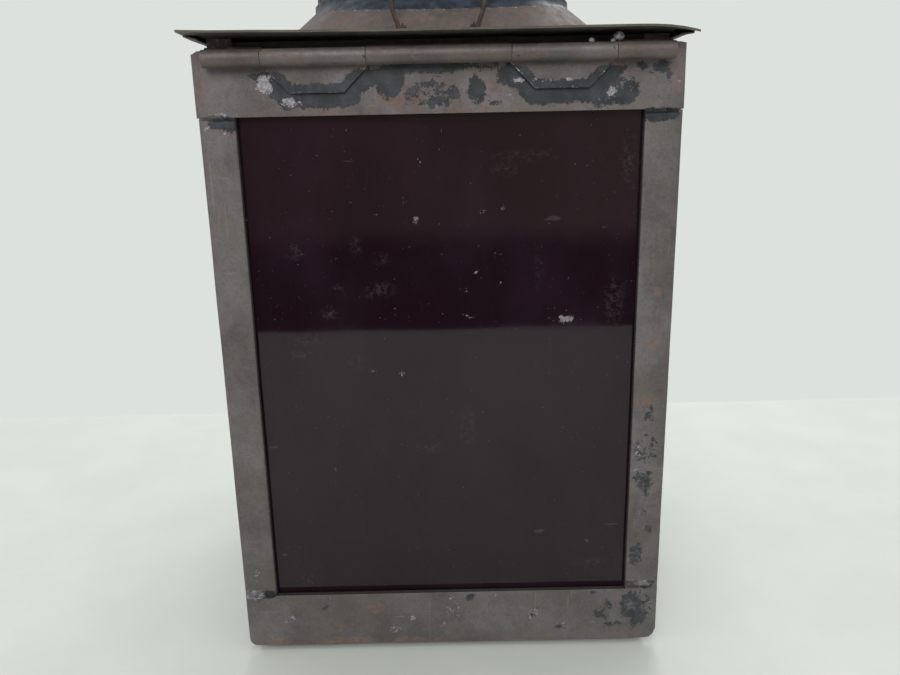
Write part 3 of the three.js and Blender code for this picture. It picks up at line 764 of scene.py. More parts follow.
def paint_at(point, _normal):
    """Remains of the blue-black japanning."""
    bands = []
    for low, high in TABS:
        distance = tab_distance(point, low.x, high.x)
        bands.append(0.95 * min(fade(distance - PAINT_OUT, 3.5), fade(-PAINT_IN - distance, 2.2)))
    below_tube = point.z < AXIS_Z - KNUCKLE - 1.8
    return max(max(bands) * (1.0 if below_tube else 0.3), strongest(point, PAINT_PATCHES))


def bare_at(point, _normal):
    """Bright tin and smeared solder, and a pale line along the tabs' edges that is rubbed-bare tin and
    painted highlight.
    """
    edge = min(abs(tab_distance(point, low.x, high.x)) for low, high in TABS)
    on_tab = point.y < DOOR_FACE - SHEET / 2
    return max(0.42 if edge < BARE_AND_HIGHLIGHT_EDGE and on_tab else 0.0, strongest(point, BARE_PATCHES))


def rust_at(point, _normal):
    on_tube = point.z > AXIS_Z - KNUCKLE - 0.3
    return max(0.5 if on_tube else 0.0, strongest(point, RUST_PATCHES))


def painted_shade_at(point, _normal):
    """Painted shade: the door darkened towards its foot, and near-black on the edges that face the glass,
    where shadow falls in the opening.
    """
    at_glass = abs(point.x) < OPENING_HALF + 1 and bottom_high.z - 2.5 < point.z < top_low.z + 1
    if at_glass and point.y > DOOR_FACE + 0.35:
        return 0.9
    return 0.12 * (1 - smooth(point.z, 0, 220))


# the door's marks: paint, bare tin, rust, and painted shade
DOOR_MARKS = {"paint": paint_at, "bare": bare_at, "rust": rust_at, "painted_shade": painted_shade_at}


# ---------------------------------------------------------------- door
def small_block(*sides):
    """A block between a pair of values on X, on Y and on Z."""
    made = bmesh.new()
    bmesh.ops.create_cube(made, size=1)
    bmesh.ops.scale(made, vec=Vector([high - low for low, high in sides]) * MM, verts=made.verts)
    return shifted(made, *((low + high) / 2 for low, high in sides))


def door_strip(name, low, high, past, warp, ledge_z, reveal_z):
    """A level strip of the door, wrapped round its sides and standing past the stiles there. Its outer edge
    is folded back into a ledge, and its edge at the opening into a reveal."""
    left, right = -DOOR_HALF - past[0], DOOR_HALF + past[1]
    wrap = [(left, DOOR_BACK), (left, DOOR_FACE), (right, DOOR_FACE), (right, DOOR_BACK)]
    samples, along = folded_line(wrap, FOLD, FINE), steps(low, high, FINE)
    face = sheet_mesh(samples, along, in_plan, SHEET, warp=warp, dent=0.22, dent_size=26)
    behind = DOOR_FACE + SHEET / 2
    ledge_half, ledge_back = DOOR_HALF - SHEET - 3, DOOR_FACE + 5
    ledge = small_block((-ledge_half, ledge_half), (behind, ledge_back), (ledge_z, ledge_z + SHEET))
    reveal = small_block((-OPENING_HALF, OPENING_HALF), (behind, REVEAL), (reveal_z, reveal_z + SHEET))
    piece(name, merged(face, ledge, reveal), "door", DOOR_TIN, [name], DOOR_MARKS, bevel=TRIM)


def rounded_foot(spot):
    """Lifts the bottom strip's lower edge where its two lower corners are rounded."""
    inward = abs(spot.x) - (DOOR_HALF - CORNER)
    if inward <= 0:
        return spot
    reach = 9
    rise = CORNER - math.sqrt(max(0.0, CORNER**2 - min(inward, CORNER) ** 2))
    share = max(0.0, 1 - (spot.z - bottom_low.z) / reach)
    return Vector((spot.x, spot.y, spot.z + rise * share))


def clipped_shoulder(spot):
    """Takes the sharp point off the door's two upper corners."""
    width, reach = 2, 6
    inward = abs(spot.x) - (DOOR_HALF - width)
    if inward <= 0:
        return spot
    share = max(0.0, 1 - (top_high.z - spot.z) / reach)
    depth = 1.1 if spot.x < 0 else 0.4
    return Vector((spot.x, spot.y, spot.z - depth * min(1.0, inward / width) * share))


def door_stile(side):
    outer = DOOR_HALF if side < 0 else DOOR_HALF + 0.5
    path = [(-outer, DOOR_BACK), (-outer, DOOR_FACE), (-OPENING_HALF, DOOR_FACE), (-OPENING_HALF, REVEAL)]
    along = steps(stile_low.z - OPENING_DROP, stile_high.z, 1.8)
    made = sheet_mesh(
        folded_line(path, 0.9, FINE), along, in_plan, SHEET, dent=0.18, dent_size=30, seed=3.0 * side
    )
    if side > 0:
        made = mirrored(made)
    name = "door_stile_left" if side < 0 else "door_stile_right"
    piece(name, made, "door", DOOR_TIN, [name], DOOR_MARKS, bevel=TRIM)


def solder_joint(name, x0, x1, z, height, seed):
    """A thin, uneven skin of solder wiped along the joint of two strips."""
    made = bmesh.new()
    across, along, tail = 14, 34, 4
    thickest, sunk = 0.42, 0.06
    grid = []
    for i in range(across + 1):
        row = []
        for j in range(along + 1):
            x = x0 + (x1 - x0) * j / along
            level = z + height * (i / across - 0.5)
            edge = min(i, across - i) / across * 2
            end = min(1.0, min(j, along - j) / tail)
            lump = 0.5 + noise.noise(Vector((x * 0.35, level * 0.6, seed)))
            rise = thickest * min(1.0, edge * 1.6) * end * lump - sunk
            row.append(made.verts.new(Vector((x, DOOR_FACE - rise, level)) * MM))
        grid.append(row)
    stitch(made, grid, closed=False)
    bmesh.ops.solidify(made, geom=made.faces[:], thickness=0.25 * MM)
    bmesh.ops.recalc_face_normals(made, faces=made.faces)
    piece(name, made, "door", DOOR_TIN, marks=DOOR_MARKS)


past_top, past_bottom = (0.9, 0.9), (0.1, 0.9)
low, high = top_low.z, top_high.z
door_strip("door_top_strip", low, high, past_top, clipped_shoulder, high - SHEET, low)
low, high = bottom_low.z, bottom_high.z - OPENING_DROP
door_strip("door_bottom_strip", low, high, past_bottom, rounded_foot, low, high - SHEET)
door_stile(-1)
door_stile(1)
near, far = OPENING_HALF + 0.3, DOOR_HALF - 0.6
solder_joint("solder_bottom_left", -far, -near, stile_low.z, 4.6, 1.0)
solder_joint("solder_bottom_right", near, far, stile_low.z + 1.2, 4.2, 2.0)
solder_joint("solder_top_left", -far, -near, stile_high.z, 2.6, 3.0)
solder_joint("solder_top_right", near, far, stile_high.z, 2.6, 4.0)


GLASS_CHIPS = [
    (-10.6, 195.2, 1.2, 1.3, 0.9), (50.3, 153.2, 3.6, 1.5, 0.9), (10.5, 155.5, 2.2, 1.2, 0.5),
    (9, 165.5, 1.6, 1.6, 0.4), (16, 198, 0.9, 0.9, 0.8), (23.4, 199.2, 0.9, 0.7, 0.8),
    (13.2, 173.7, 0.7, 0.7, 0.9), (23.3, 169, 0.7, 0.7, 0.9), (21, 181, 0.9, 2, 0.5),
    (-15, 204, 0.7, 1.6, 0.5), (-9, 218.6, 1, 1.5, 0.5), (65, 191, 0.7, 0.7, 0.8),
    (43, 153.5, 0.7, 1.4, 0.5), (-18.6, 130.8, 0.8, 0.8, 1.0), (-30.3, 132.4, 0.8, 0.8, 0.8),
    (-63.5, 222.8, 1.2, 1, 0.5), (-50, 88, 0.7, 0.7, 0.8), (60.6, 50.8, 1, 0.9, 0.7),
    (-21, 159.4, 1.2, 1.4, 0.4),
]
GLASS_SCUFFS = [
    (33, 219.5, 7, 1.2, 0.8), (25, 214.5, 4, 2.4, 0.7), (38.5, 174, 1.1, 5, 0.8),
    (-26.7, 167, 5.5, 3, 0.8), (-43, 167.5, 2.5, 2, 0.7), (-47.4, 158, 3, 2.2, 0.8),
    (-35, 185, 2, 3.4, 0.7), (-26, 180, 3, 1.8, 0.7), (-60, 184, 4, 4, 0.6), (70, 161, 4, 9, 0.6),
    (74, 217, 3, 9, 0.6), (-57, 146.5, 6, 2.4, 0.8), (-59, 140, 5, 1.4, 0.6), (-37.5, 136, 4, 3, 0.6),
    (9, 106, 3.4, 7, 0.5), (-7.5, 97.5, 5, 2, 0.5), (-63, 34, 4, 2.4, 0.6), (64.5, 40, 7, 2.2, 0.5),
]


def bevelled_pane():
    """The glass, on a grid fine enough to carry its marks."""
    low, high = glass_low, glass_high
    grid = 1.1
    front = folded_line([(low.x, low.y), (high.x, low.y)], 1.0, grid)
    made = sheet_mesh(front, steps(low.z, high.z, grid), in_plan, high.y - low.y)
    marks = {
        "chip": lambda point, _normal: strongest(point, GLASS_CHIPS),
        "scuff": lambda point, _normal: strongest(point, GLASS_SCUFFS),
    }
    piece("ruby_glass", made, "door", GLASS, ["ruby_glass"], marks, bevel=0.5)


bevelled_pane()


# ---------------------------------------------------------------- hinge
def rolled(start, turn, parts=22):
    """Points of a sheet's path as it rolls round the hinge pin, from an angle through a turn, in degrees."""
    angles = [math.radians(start + turn * i / parts) for i in range(parts + 1)]
    return [Vector((AXIS_Y + math.cos(a) * KNUCKLE, AXIS_Z + math.sin(a) * KNUCKLE)) for a in angles]


def path_samples(points):
    """Samples (point, left normal) of a path that is already smooth."""
    samples = []
    for i, spot in enumerate(points):
        way = heading(points, i)
        samples.append((spot, Vector((-way.y, way.x))))
    return samples


def door_leaf(name, seed):
    """A tab on the door's face whose upper end is rolled round the pin."""
    low, high = span(name)
    face_y, flat_top = DOOR_FACE - 1.0, AXIS_Z - 1.5
    foot = [Vector((face_y, TAB_LOW + (flat_top - TAB_LOW) * i / 10)) for i in range(11)]
    roll = rolled(-18, 342)
    samples = path_samples(foot + roll[1:])

    def chamfered(spot):
        if spot.z > flat_top or spot.y < AXIS_Y:
            return spot
        from_end = min(spot.x - low.x, high.x - spot.x)
        rise = max(0.0, TAB_CHAMFER - from_end)
        share = (flat_top - spot.z) / (flat_top - TAB_LOW)
        return Vector((spot.x, spot.y, spot.z + rise * max(0.0, min(1.0, share))))

    along = steps(low.x - CLOSER, high.x + CLOSER, 1.3)
    made = sheet_mesh(samples, along, from_side, THIN, warp=chamfered, dent=0.1, seed=seed)
    piece(name, made, "door", DOOR_TIN, [name], DOOR_MARKS, bevel=0.1)


def case_leaf(name, material, seed):
    """A strap from the case over the door's top edge, rolled round the pin from above."""
    low, high = span(name)
    seat = high.y
    strap = [(seat, low.z), (seat, high.z), (AXIS_Y + 4.2, high.z), (AXIS_Y + 2.3, AXIS_Z + 2.9)]
    flat = [point for point, _ in folded_line(strap, 0.8, 1.2)]
    roll = rolled(62, 330)
    samples = path_samples(flat + roll)
    along = steps(low.x - CLOSER, high.x + CLOSER, 1.6)
    made = sheet_mesh(samples, along, from_side, THIN, dent=0.1, seed=seed)
    marks = {"rust": even(0.4 if low.x > 60 else 0.3)}
    piece(name, made, "case", material, [name], marks, bevel=0.1)


case_leaf("hinge_leaf_case_left", TUBE_TIN, 1.0)
case_leaf("hinge_leaf_case_centre", TUBE_TIN, 2.0)
case_leaf("hinge_leaf_case_right", RUSTY, 3.0)
door_leaf("hinge_leaf_door_left", 4.0)
door_leaf("hinge_leaf_door_right", 5.0)
pin = rod_x(PIN_RADIUS, pin_low.x, pin_high.x, AXIS_Y, AXIS_Z, inset=0.5)
piece("hinge_pin", pin, "case", WIRE, ["hinge_pin"])


# ---------------------------------------------------------------- case
def case_marks():
    """Clouds of japanning on the plain sheets, heavier near the top, and rust at the foot."""
    cloud_size, heavy_from, rust_to = 42, 200, 26

    def paint(point, _normal):
        cloud = noise.noise(point / cloud_size)
        return 0.2 + 0.45 * cloud + 0.18 * max(0.0, (point.z - heavy_from) / 64)

    def rust(point, _normal):
        return max(0.0, 1 - point.z / rust_to)

    return {"paint": paint, "rust": rust}


def plain_sheet(path, low_z, high_z, dent_size, seed):
    """An upright sheet of the case, folded along a path seen from above, and gently dented."""
    samples, along = folded_line(path, 1.2, 6), steps(low_z, high_z, 6)
    return sheet_mesh(samples, along, in_plan, SHEET, dent=0.8, dent_size=dent_size, seed=seed)


def side_panel(side):
    name = "left_side_panel" if side < 0 else "right_side_panel"
    low, high = span(name)
    outer, flange = CASE_HALF, 10
    path = [(-outer, high.y), (-outer, low.y), (flange - outer, low.y)]
    made = plain_sheet(path, low.z, high.z, 70, 9.0 + side)
    if side > 0:
        made = mirrored(made)
    vent, pitch, height = 4, 26, 20
    ends = (side * outer - 4, side * outer + 4)
    holes = [rod_x(vent, *ends, pitch * k, height, 24) for k in range(-2, 3)]
    if side > 0:
        shaft = sum(span("wick_shaft"), Vector()) / 2
        holes.append(rod_x(3, *ends, shaft.y, shaft.z, 24))
    piece(name, drilled(made, holes), "case", WORN, [name], case_marks(), bevel=0.15)


def back_panel():
    low, high = span("back_panel")
    path = [(high.x, low.y), (high.x, high.y), (low.x, high.y), (low.x, low.y)]
    made = plain_sheet(path, low.z, high.z, 80, 14.0)
    piece("back_panel", made, "case", WORN, ["back_panel"], case_marks(), bevel=0.15)


def corner_seam(side):
    """The folded seam that locks a side sheet to the back sheet."""
    high = span("back_panel")[1]
    edge, back = side * (CASE_HALF + 0.9), high.y + 0.9
    path = [(edge, high.y - 5), (edge, back), (side * (CASE_HALF - 6), back)]
    if side < 0:
        path = path[::-1]
    along = steps(1.0, high.z - 1, 4)
    made = sheet_mesh(folded_line(path, 0.8, 2), along, in_plan, 0.7, dent=0.25, dent_size=20)
    name = "corner_seam_left" if side < 0 else "corner_seam_right"
    piece(name, made, "case", WORN, marks=case_marks(), bevel=0.1)


side_panel(-1)
side_panel(1)
back_panel()
corner_seam(-1)
corner_seam(1)


def sprung_tab():
    """The end of the left flange, bent up to hold the roof plate's left front corner."""
    low, high = span("left_side_panel")
    path = [(low.y - 0.1, high.z - 2.6), (low.y - 0.9, high.z - 1.6), (low.y - 0.9, high.z + 1.3)]
    left = low.x + 0.2
    made = sheet_mesh(folded_line(path, 0.4, 0.8), steps(left, left + 9.6, 1.2), from_side, 0.6)
    marks = {"bare": even(0.4), "rust": even(0.8)}
    piece("sprung_tab", made, "case", WORN, marks=marks, bevel=0.1)


def baffle_end(name):
    """The baffle's front end, folded in so that no light gets past it."""
    low, high = span(name)
    made = small_block((low.x + 0.2, high.x - 0.2), (low.y - 0.7, low.y), (low.z, high.z))
    piece(f"{name}_end", made, "case", HIDDEN, bevel=0.15)


def solder_drop(name, body, place, radius):
    """A pale, crusty drop of solder left on the hinge tube."""
    made = bmesh.new()
    bmesh.ops.create_icosphere(made, subdivisions=4, radius=radius)
    for vertex in made.verts:
        way = vertex.co.normalized()
        lump = 1 + 0.35 * noise.noise(way * 1.7 + Vector(place)) + 0.12 * noise.noise(way * 5)
        squat = Vector((way.x * 1.15, way.y, way.z * 0.95))
        vertex.co = (Vector(place) + squat * radius * lump) * MM
    piece(name, made, body, SOLDER, sharp=60)


sprung_tab()
baffle_end("air_baffle_left")
baffle_end("air_baffle_right")
solder_drop("solder_drop_right", "case", (66.6, -94.4, 261.8), 1.7)
solder_drop("solder_drop_seam", "door", (64.2, -95.7, 260.1), 0.8)
solder_drop("solder_drop_small", "door", (56.4, -95.6, 260.3), 0.9)

# ---------------------------------------------------------------- roof and chimney
roof_half = (roof_high - roof_low) / 2
roof_middle = (roof_high + roof_low) / 2


def lifted(spot):
    """A point of the roof plate with its left front corner sprung up and its right one bent down."""
    spring, droop, bent_from, bent_over = 1.1, 2.4, 168, 27
    x, y = spot.x, spot.y
    edge = smooth(max(abs(x) / roof_half.x, abs(y - roof_middle.y) / roof_half.y), 0.8, 1.0)
    wave = noise.noise(Vector((x / 24, y / 24, 7.0))) * 0.25 * edge
    sprung = spring * max(0.0, -x / roof_half.x) ** 2 * smooth(-y, -20, 80)
    curl = max(0.0, (x - y - bent_from) / bent_over)
    return Vector((x, y, spot.z + wave + sprung - droop * curl**3))


def roof_plate():
    """A flat sheet with a hole for the flue, gridded finely enough to bend at its corners."""
    hole, rings, sides = 40.0, 40, 200
    made = bmesh.new()

    def rim_point(angle):
        cos, sin = math.cos(angle), math.sin(angle)
        reach = min(roof_half.x / max(abs(cos), 1e-9), roof_half.y / max(abs(sin), 1e-9))
        return Vector((reach * cos, roof_middle.y + reach * sin))

    layers = []
    for level in (roof_high.z, roof_low.z):
        layer = []
        for i in range(rings + 1):
            ring = []
            for turned in full_turn(sides):
                angle = turned + math.pi / 4
                inner = Vector((hole * math.cos(angle), hole * math.sin(angle)))
                flat = inner.lerp(rim_point(angle), (i / rings) ** 0.85)
                ring.append(made.verts.new(lifted(Vector((flat.x, flat.y, level))) * MM))
            layer.append(ring)
        layers.append(layer)
        stitch(made, layer)
    for i in (0, rings):
        stitch(made, [layer[i] for layer in layers])
    bmesh.ops.recalc_face_normals(made, faces=made.faces)

    plate = piece("roof_plate", made, "case", ROOF_TIN, ["roof_plate"], {"rust": even(0.4)})
    # painted shade: the underside faces over the case get the near-black shade material
    plate.data.materials.append(ROOF_UNDERSIDE_SHADE)
    for face in plate.data.polygons:
        if face.normal.z < -0.5 and abs(face.center.x) < 89 * MM:
            face.material_index = 1


def roof_hem(name, side):
    """The roof plate's side edge, folded back under it as far as the case's wall."""
    edge, under = roof_high.x - 0.2, roof_low.z
    path = [(edge - 0.5, under - 0.1), (edge, under - 0.6), (CASE_HALF + 0.5, under - 1.7)]
    path = [(side * x, z) for x, z in path]
    along = steps(roof_low.y + 7, roof_high.y - 1, 4)
    made = sheet_mesh(folded_line(path, 0.3, 1.2), along, from_front, 0.5, warp=lifted)
    piece(name, made, "case", BROWN, marks={"rust": even(0.3)})


roof_plate()
roof_hem("roof_hem_left", -1)
roof_hem("roof_hem_right", 1)
TURN = full_turn(216)


def skirt():
    """The cone, soldered to the roof plate by its turned-out foot and rounded into a short collar."""
    foot, low, top = skirt_high.x, skirt_low.z, skirt_high.z
    collar = neck_high.x + 1.1
    paint_low, paint_climb = 276.4, 7.2
    path = [(foot + 1.2, low - 0.4), (foot - 1, low - 0.2), (collar - 0.6, top - 3), (collar - 0.6, top)]
    samples = folded_line(path, 3.0, 0.9)
    made = sheet_mesh(samples, TURN, round_chimney, SHEET, wrap=True, dent=0.35, dent_size=24)

    def above_edge(point):
        """Height above the lower edge of the japanning, which climbs towards the sides."""
        return point.z - (paint_low + paint_climb * ((point.x - CHIMNEY_SHIFT) / collar) ** 2)

    def paint(point, _normal):
        return max(0.0, min(1.0, 0.5 + above_edge(point) / 1.6))

    def bare(point, _normal):
        return 0.5 * fade(abs(above_edge(point) + 0.3) - 0.5, 1.0)

    marks = {"paint": paint, "bare": bare, "rust": even(0.5)}
    piece("chimney_skirt", made, "case", CONE_TIN, ["chimney_skirt"], marks)


def neck():
    """The neck: crimped above the collar it stands in, with a bead near each end."""
    low, high = neck_low.z, neck_high.z
    radius, bead = NECK_RADIUS, NECK_RADIUS + 1.3
    path = [
        (radius, low), (radius, low + 22), (bead, low + 24), (radius, low + 26),
        (radius, high - 12), (bead, high - 10), (radius, high - 8), (radius, high),
    ]

    crimps = 52

    def crimped(point, angle):
        above = point.y - low
        share = smooth(above, 3, 6) * (1 - smooth(above, 15, 20))
        depth = 0.9 * share * (0.5 + 0.5 * math.cos(crimps * angle))
        return round_chimney(Vector((point.x - depth, point.y)), angle)

    samples = folded_line(path, 0.9, 2.2)
    made = sheet_mesh(samples, full_turn(8 * crimps), crimped, SHEET, wrap=True, dent=0.2, dent_size=30)
    piece("chimney_neck", made, "case", NECK_PAINT, ["chimney_neck"])


def hood():
    """The hood: a wired rim, a straight skirt, a swaged bead, a cone and a small domed crown."""
    low, high, radius = hood_low.z, hood_high.z, HOOD_RADIUS
    path = [
        (radius - 1.2, low + 1.0), (radius - 0.2, low), (radius, low + 1.2), (HOOD_WALL, low + 2.6),
        (HOOD_WALL, high - 26), (radius, high - 24.6), (radius - 1.4, high - 22.8),
        (21.5, high - 2.2), (12, high - 0.6), (0, high),
    ]
    samples = folded_line(path, 0.5, 2.4)
    made = sheet_mesh(samples, TURN, round_chimney, SHEET, wrap=True, dent=0.4, dent_size=28)
    piece("chimney_hood", made, "case", HOOD_PAINT, ["chimney_hood"])


def lapped_seam(name, low, high, material):
    """A flat soldered lap up the back of the chimney, between two (radius, height) ends."""
    low, high = Vector(low), Vector(high)
    rise = (high - low).normalized()
    outward = Vector((rise.y, -rise.x))

    def lap(point, share):
        spot = low.lerp(high, share) + outward * point.y
        return round_chimney(spot, SEAM_ANGLE + point.x / spot.x)

    path = [(2.6, -0.1), (2.3, 0.65), (-2.3, 0.65), (-2.6, -0.1)]
    made = sheet_mesh(folded_line(path, 0.25, 0.7), steps(0, 1, 0.04), lap, 0.5, dent=0.15, dent_size=12)
    piece(name, made, "case", material)


def hood_stay(index):
    """A strap from inside the neck up to the underside of the hood."""
    name = f"hood_stay_{index}"
    low, high = span("hood_stay_1")
    turn = math.radians(90 + 120 * (index - 1))
    inset = 1.0
    path = [(low.y - inset, low.z), (low.y - inset, high.z - 0.8), (high.y - inset, high.z - 4.8)]

    def place(point, across):
        flat = Vector((point.x, across, point.y))
        return Matrix.Rotation(turn, 3, "Z") @ flat + Vector((CHIMNEY_SHIFT, 0, 0))

    made = sheet_mesh(folded_line(path, 0.8, 1.5), steps(-5, 5, 2.5), place, SHEET)
    piece(name, made, "case", BROWN, [name])


skirt()
neck()
hood()
for index in (1, 2, 3):
    hood_stay(index)
lapped_seam("neck_seam", (NECK_RADIUS, neck_low.z + 4.5), (NECK_RADIUS, neck_high.z - 1), NECK_PAINT)
lapped_seam("hood_rim_seam", (HOOD_WALL, hood_low.z + 3), (HOOD_WALL, hood_high.z - 26.4), HOOD_PAINT)
lapped_seam("hood_cone_seam", (HOOD_RADIUS - 3.4, hood_high.z - 22), (24, hood_high.z - 3.2), HOOD_PAINT)


# ---------------------------------------------------------------- wire loop and its eyes
def wire_loop():
    """The loop: two inward hooks through the eyes, two legs and a round arch."""
    high = span("wire_bail")[1]
    half = high.x - WIRE_RADIUS
    arch = (high.z - BAIL_Z) / math.cos(BAIL_LEAN) - 0.4 - half
    side = [
        (12.5, 0), (14.9, 0), (half - 2.2, 2), (half - 0.6, 7), (half, 14),
        (half + 0.1, arch * 0.55), (half, arch - 4),
    ]
    crown = [(half * math.cos(a), arch + half * math.sin(a)) for a in steps(0, math.pi, math.pi / 8)]
    flat = [(-x, up) for x, up in side] + [(-x, up) for x, up in crown] + side[::-1]
    back, rise = math.sin(BAIL_LEAN), math.cos(BAIL_LEAN)
    points = []
    for x, up in flat:
        wobble = 0.25 * noise.noise(Vector((x * 0.06, up * 0.05, 2.0)))
        points.append(Vector((x + wobble, BAIL_Y + up * back, BAIL_Z + up * rise)))
    piece("wire_bail", wire_mesh(points, WIRE_RADIUS), "bail", WIRE, ["wire_bail"])


def bail_eye(name):
    low, high = span(name)
    centre = Vector(((low.x + high.x) / 2, BAIL_Y, BAIL_Z))
    ring = [centre + Vector((0, math.cos(a), math.sin(a))) * EYE_RADIUS for a in full_turn(28)]
    made = wire_mesh([*ring, ring[0]], EYE_WIRE, sides=10, parts=2)
    piece(name, made, "case", WIRE, [name])


wire_loop()
bail_eye("bail_eye_left")
bail_eye("bail_eye_right")


# ---------------------------------------------------------------- lamp
cap_low, cap_high = span("filler_cap")
CAP_X = (cap_low.x + cap_high.x) / 2


def lamp_font():
    """The oil font: a drum with a shouldered top, and the filler's neck."""
    low, high = span("oil_font")
    radius = high.x
    path = [
        (0, low.z), (radius - 2, low.z), (radius, low.z + 1.5), (radius, low.z + 30.8),
        (14, high.z - 4), (14, high.z),
    ]
    tank = sheet_mesh(folded_line(path, 1.4, 2.5), TURN, round_axis, SHEET, wrap=True, dent=0.15)
    filler = sheet_mesh(folded_line([(6.8, 36), (6.8, 43)], 0.6, 3), TURN[::3], round_axis, 0.7, wrap=True)
    whole = merged(tank, shifted(filler, x=CAP_X))
    piece("oil_font", whole, "case", BRIGHT, ["oil_font"])


def knurled_cap():
    """The filler cap, hollow below."""
    low, high = cap_low.z, cap_high.z
    radius = (cap_high.x - cap_low.x) / 2
    profile = [
        (0, high - 0.9), (radius - 1.4, high - 0.9), (radius - 1.0, low), (radius - 0.3, low),
        (radius, low + 0.6), (radius, high - 0.8), (radius - 1.2, high), (0, high),
    ]
    made = turned_mesh(profile, 160, milled(40, 0.025, radius - 0.2, low + 0.3, high - 0.5))
    piece("filler_cap", shifted(made, x=CAP_X), "filler_cap", BRASS, ["filler_cap"])


def burner_collar():
    """The burner's screw collar, fluted for the fingers."""
    low, high = span("burner_collar")
    radius, flutes = high.x, 48

    def fluted(point, angle):
        depth = 0.35 * (0.5 + 0.5 * math.cos(flutes * angle)) if point.x > radius - 0.3 else 0.0
        return round_axis(Vector((point.x - depth, point.y)), angle)

    path = [(radius - 1, low.z), (radius, low.z + 1), (radius, high.z - 1), (radius - 1, high.z)]
    made = sheet_mesh(folded_line(path, 0.3, 1.5), full_turn(4 * flutes), fluted, 1.5, wrap=True)
    piece("burner_collar", made, "case", BRASS, ["burner_collar"])


def winder_knob():
    """The knob: a sleeve, a milled disc and a ring turned in its face."""
    low, high = span("wick_knob")
    middle = (low + high) / 2
    radius, near, far = (high.z - low.z) / 2, low.x, high.x
    profile = [
        (0, near), (3.1, near), (3.5, near + 0.5), (3.5, near + 4.6), (radius - 1.2, near + 5),
        (radius, near + 5.8), (radius, far - 0.8), (radius - 1.1, far), (5.2, far),
        (4.6, far - 0.5), (2.4, far - 0.5), (1.9, far), (0, far),
    ]
    made = turned_mesh(profile, 216, milled(54, 0.03, radius - 0.4))
    piece("wick_knob", laid_along_x(made, middle.y, middle.z), "winder", BRASS, ["wick_knob"])


def curved_reflector():
    low, high = span("reflector")
    radius, sweep = high.y, 60
    angles = [math.radians(sweep - 2 * i) for i in range(sweep + 1)]
    arc = [Vector((math.sin(a), math.cos(a))) * radius for a in angles]
    made = sheet_mesh(path_samples(arc), steps(low.z, high.z, 6), in_plan, THIN, dent=0.3, dent_size=40)
    piece("reflector", made, "case", BRIGHT, ["reflector"], bevel=0.1)


lamp_font()
knurled_cap()
burner_collar()
winder_knob()
curved_reflector()

# ---------------------------------------------------------------- CAD pieces that keep their shape
KEPT = [
    (WORN, "floor_pan glass_channel_left glass_channel_right glass_channel_bottom glass_clip_top"),
    (HIDDEN, "front_sill air_baffle_left air_baffle_right"),
    # black japanning and painted shade on the recessed top rail
    (RAIL_BLACK_AND_SHADE, "top_front_rail"),
    (BROWN, "inner_flue flue_flange flue_deflector deflector_stay_1 deflector_stay_2 deflector_stay_3"),
    (BROWN, "font_seat_ring"),
    (BRASS, "burner_gallery flame_cone wick_tube wick_shaft wick_spur_left wick_spur_right"),
    (BRIGHT, "shaft_washer"),
    (COTTON, "wick"),
]
for material, names in KEPT:
    for name in names.split():
        node = frame["nodes"][name]
        node.data.materials.clear()
        node.data.materials.append(material)
        weld = node.modifiers.new("one_skin", "WELD")
        weld.merge_threshold = 0.005 * MM
        soften(node, 0.15)


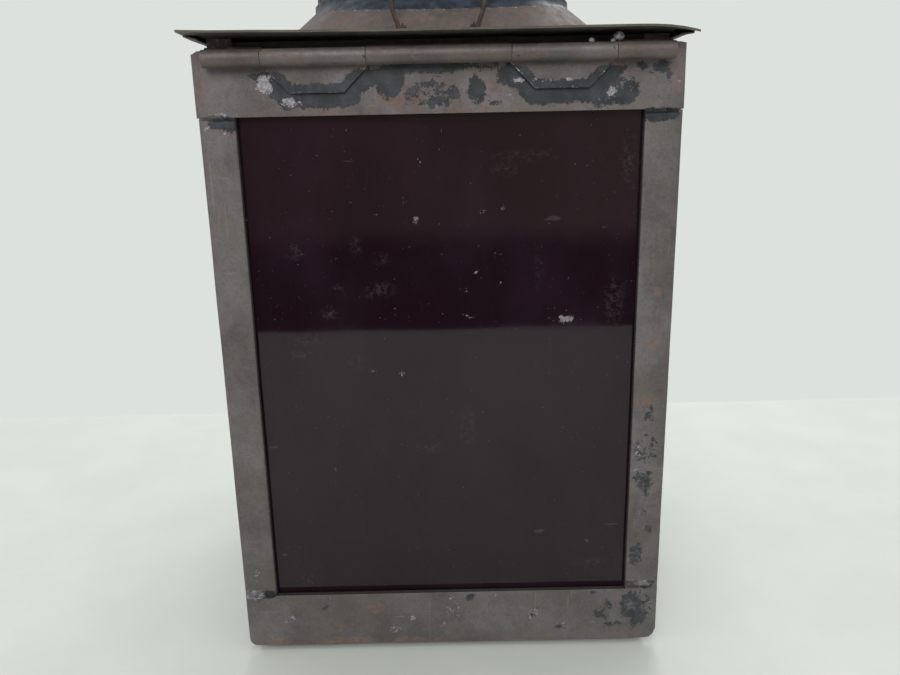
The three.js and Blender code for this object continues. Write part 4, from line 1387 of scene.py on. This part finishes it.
# ---------------------------------------------------------------- stage, light and camera
def table_top():
    """A plain pale table that ends a little behind the lantern."""
    mesh = bpy.data.meshes.new("table_top")
    half, front, back_left, back_right = 1.6, -0.70, 0.222, 0.247
    corners = [(-half, front, 0), (half, front, 0), (half, back_right, 0), (-half, back_left, 0)]
    mesh.from_pydata(corners, [], [(0, 1, 2, 3)])
    table = bpy.data.objects.new("table_top", mesh)
    bpy.context.scene.collection.objects.link(table)
    s = Shader("pale_table")
    tone = s.mix(s.band(s.noise(60, 5, 0.6), 0.35, 0.7), colour("cacdc7"), colour("cfd1cc"))
    mesh.materials.append(s.finish(tone, 0.55, 0.0))
    table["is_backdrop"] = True


def pale_world():
    """A pale room: even grey behind the object, brighter from above, and dark where the camera stands,
    which is what the glass mirrors."""
    world = bpy.data.worlds.new("pale_room")
    bpy.context.scene.world = world
    world.use_nodes = True
    s = Nodes(world.node_tree)
    ray = s.node("ShaderNodeLightPath")
    way = s.node("ShaderNodeSeparateXYZ")
    s.feed(way.inputs[0], s.node("ShaderNodeTexCoord").outputs["Generated"])
    x, y, z = way.outputs
    overhead = s.mix(s.band(z, -0.2, 0.9), "a9adab", "f4f8f6")
    front = s.less(1.0, s.band(y, -0.75, -0.1))
    low = s.less(1.0, s.band(z, 0.35, 0.75))
    person = s.times(s.times(front, low), ray.outputs["Is Glossy Ray"])
    sides = s.mix(s.band(x, -0.3, 0.3), "876e6a", "a89e90")
    mirrored = s.mix(s.band(z, -0.135, -0.1), "2a2424", sides)
    room = s.node("ShaderNodeBackground")
    s.feed(room.inputs["Color"], s.mix(person, overhead, mirrored))
    wall = s.node("ShaderNodeBackground")
    s.feed(wall.inputs["Color"], "dde1de")
    mixed = s.node("ShaderNodeMixShader")
    s.feed(mixed.inputs[0], ray.outputs["Is Camera Ray"])
    s.feed(mixed.inputs[1], room.outputs[0])
    s.feed(mixed.inputs[2], wall.outputs[0])
    s.feed(s.node("ShaderNodeOutputWorld").inputs["Surface"], mixed.outputs[0])


def soft_light(name, place, aim, size, power):
    data = bpy.data.lights.new(name, "AREA")
    data.shape = "DISK"
    data.size = size
    data.energy = power
    light = bpy.data.objects.new(name, data)
    light.location = place
    light.rotation_euler = (Vector(aim) - Vector(place)).to_track_quat("-Z", "Y").to_euler()
    bpy.context.scene.collection.objects.link(light)


def camera():
    """Close in front of the door, a little below its top edge, looking down."""
    data = bpy.data.cameras.new("camera")
    lens, away, right, height = 30.16, 301.0, 2.0, 224.6
    data.lens = lens
    data.sensor_width = 36
    data.clip_start = 0.01
    view = bpy.data.objects.new("camera", data)
    tilt = Matrix.Rotation(math.radians(90 - 14.42), 4, "X")
    roll = Matrix.Rotation(math.radians(-1.19), 4, "Z")
    view.matrix_world = Matrix.Translation(Vector((right, DOOR_FACE - away, height)) * MM) @ tilt @ roll
    bpy.context.scene.collection.objects.link(view)
    bpy.context.scene.camera = view


table_top()
pale_world()
soft_light("window", (0.15, 0.95, 1.15), (0, -0.1, 0.1), 1.1, 9)
soft_light("front", (-0.15, -1.35, 1.0), (0, 0, 0.3), 0.9, 9)
camera()
bpy.context.scene.view_settings.view_transform = "Standard"

low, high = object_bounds()
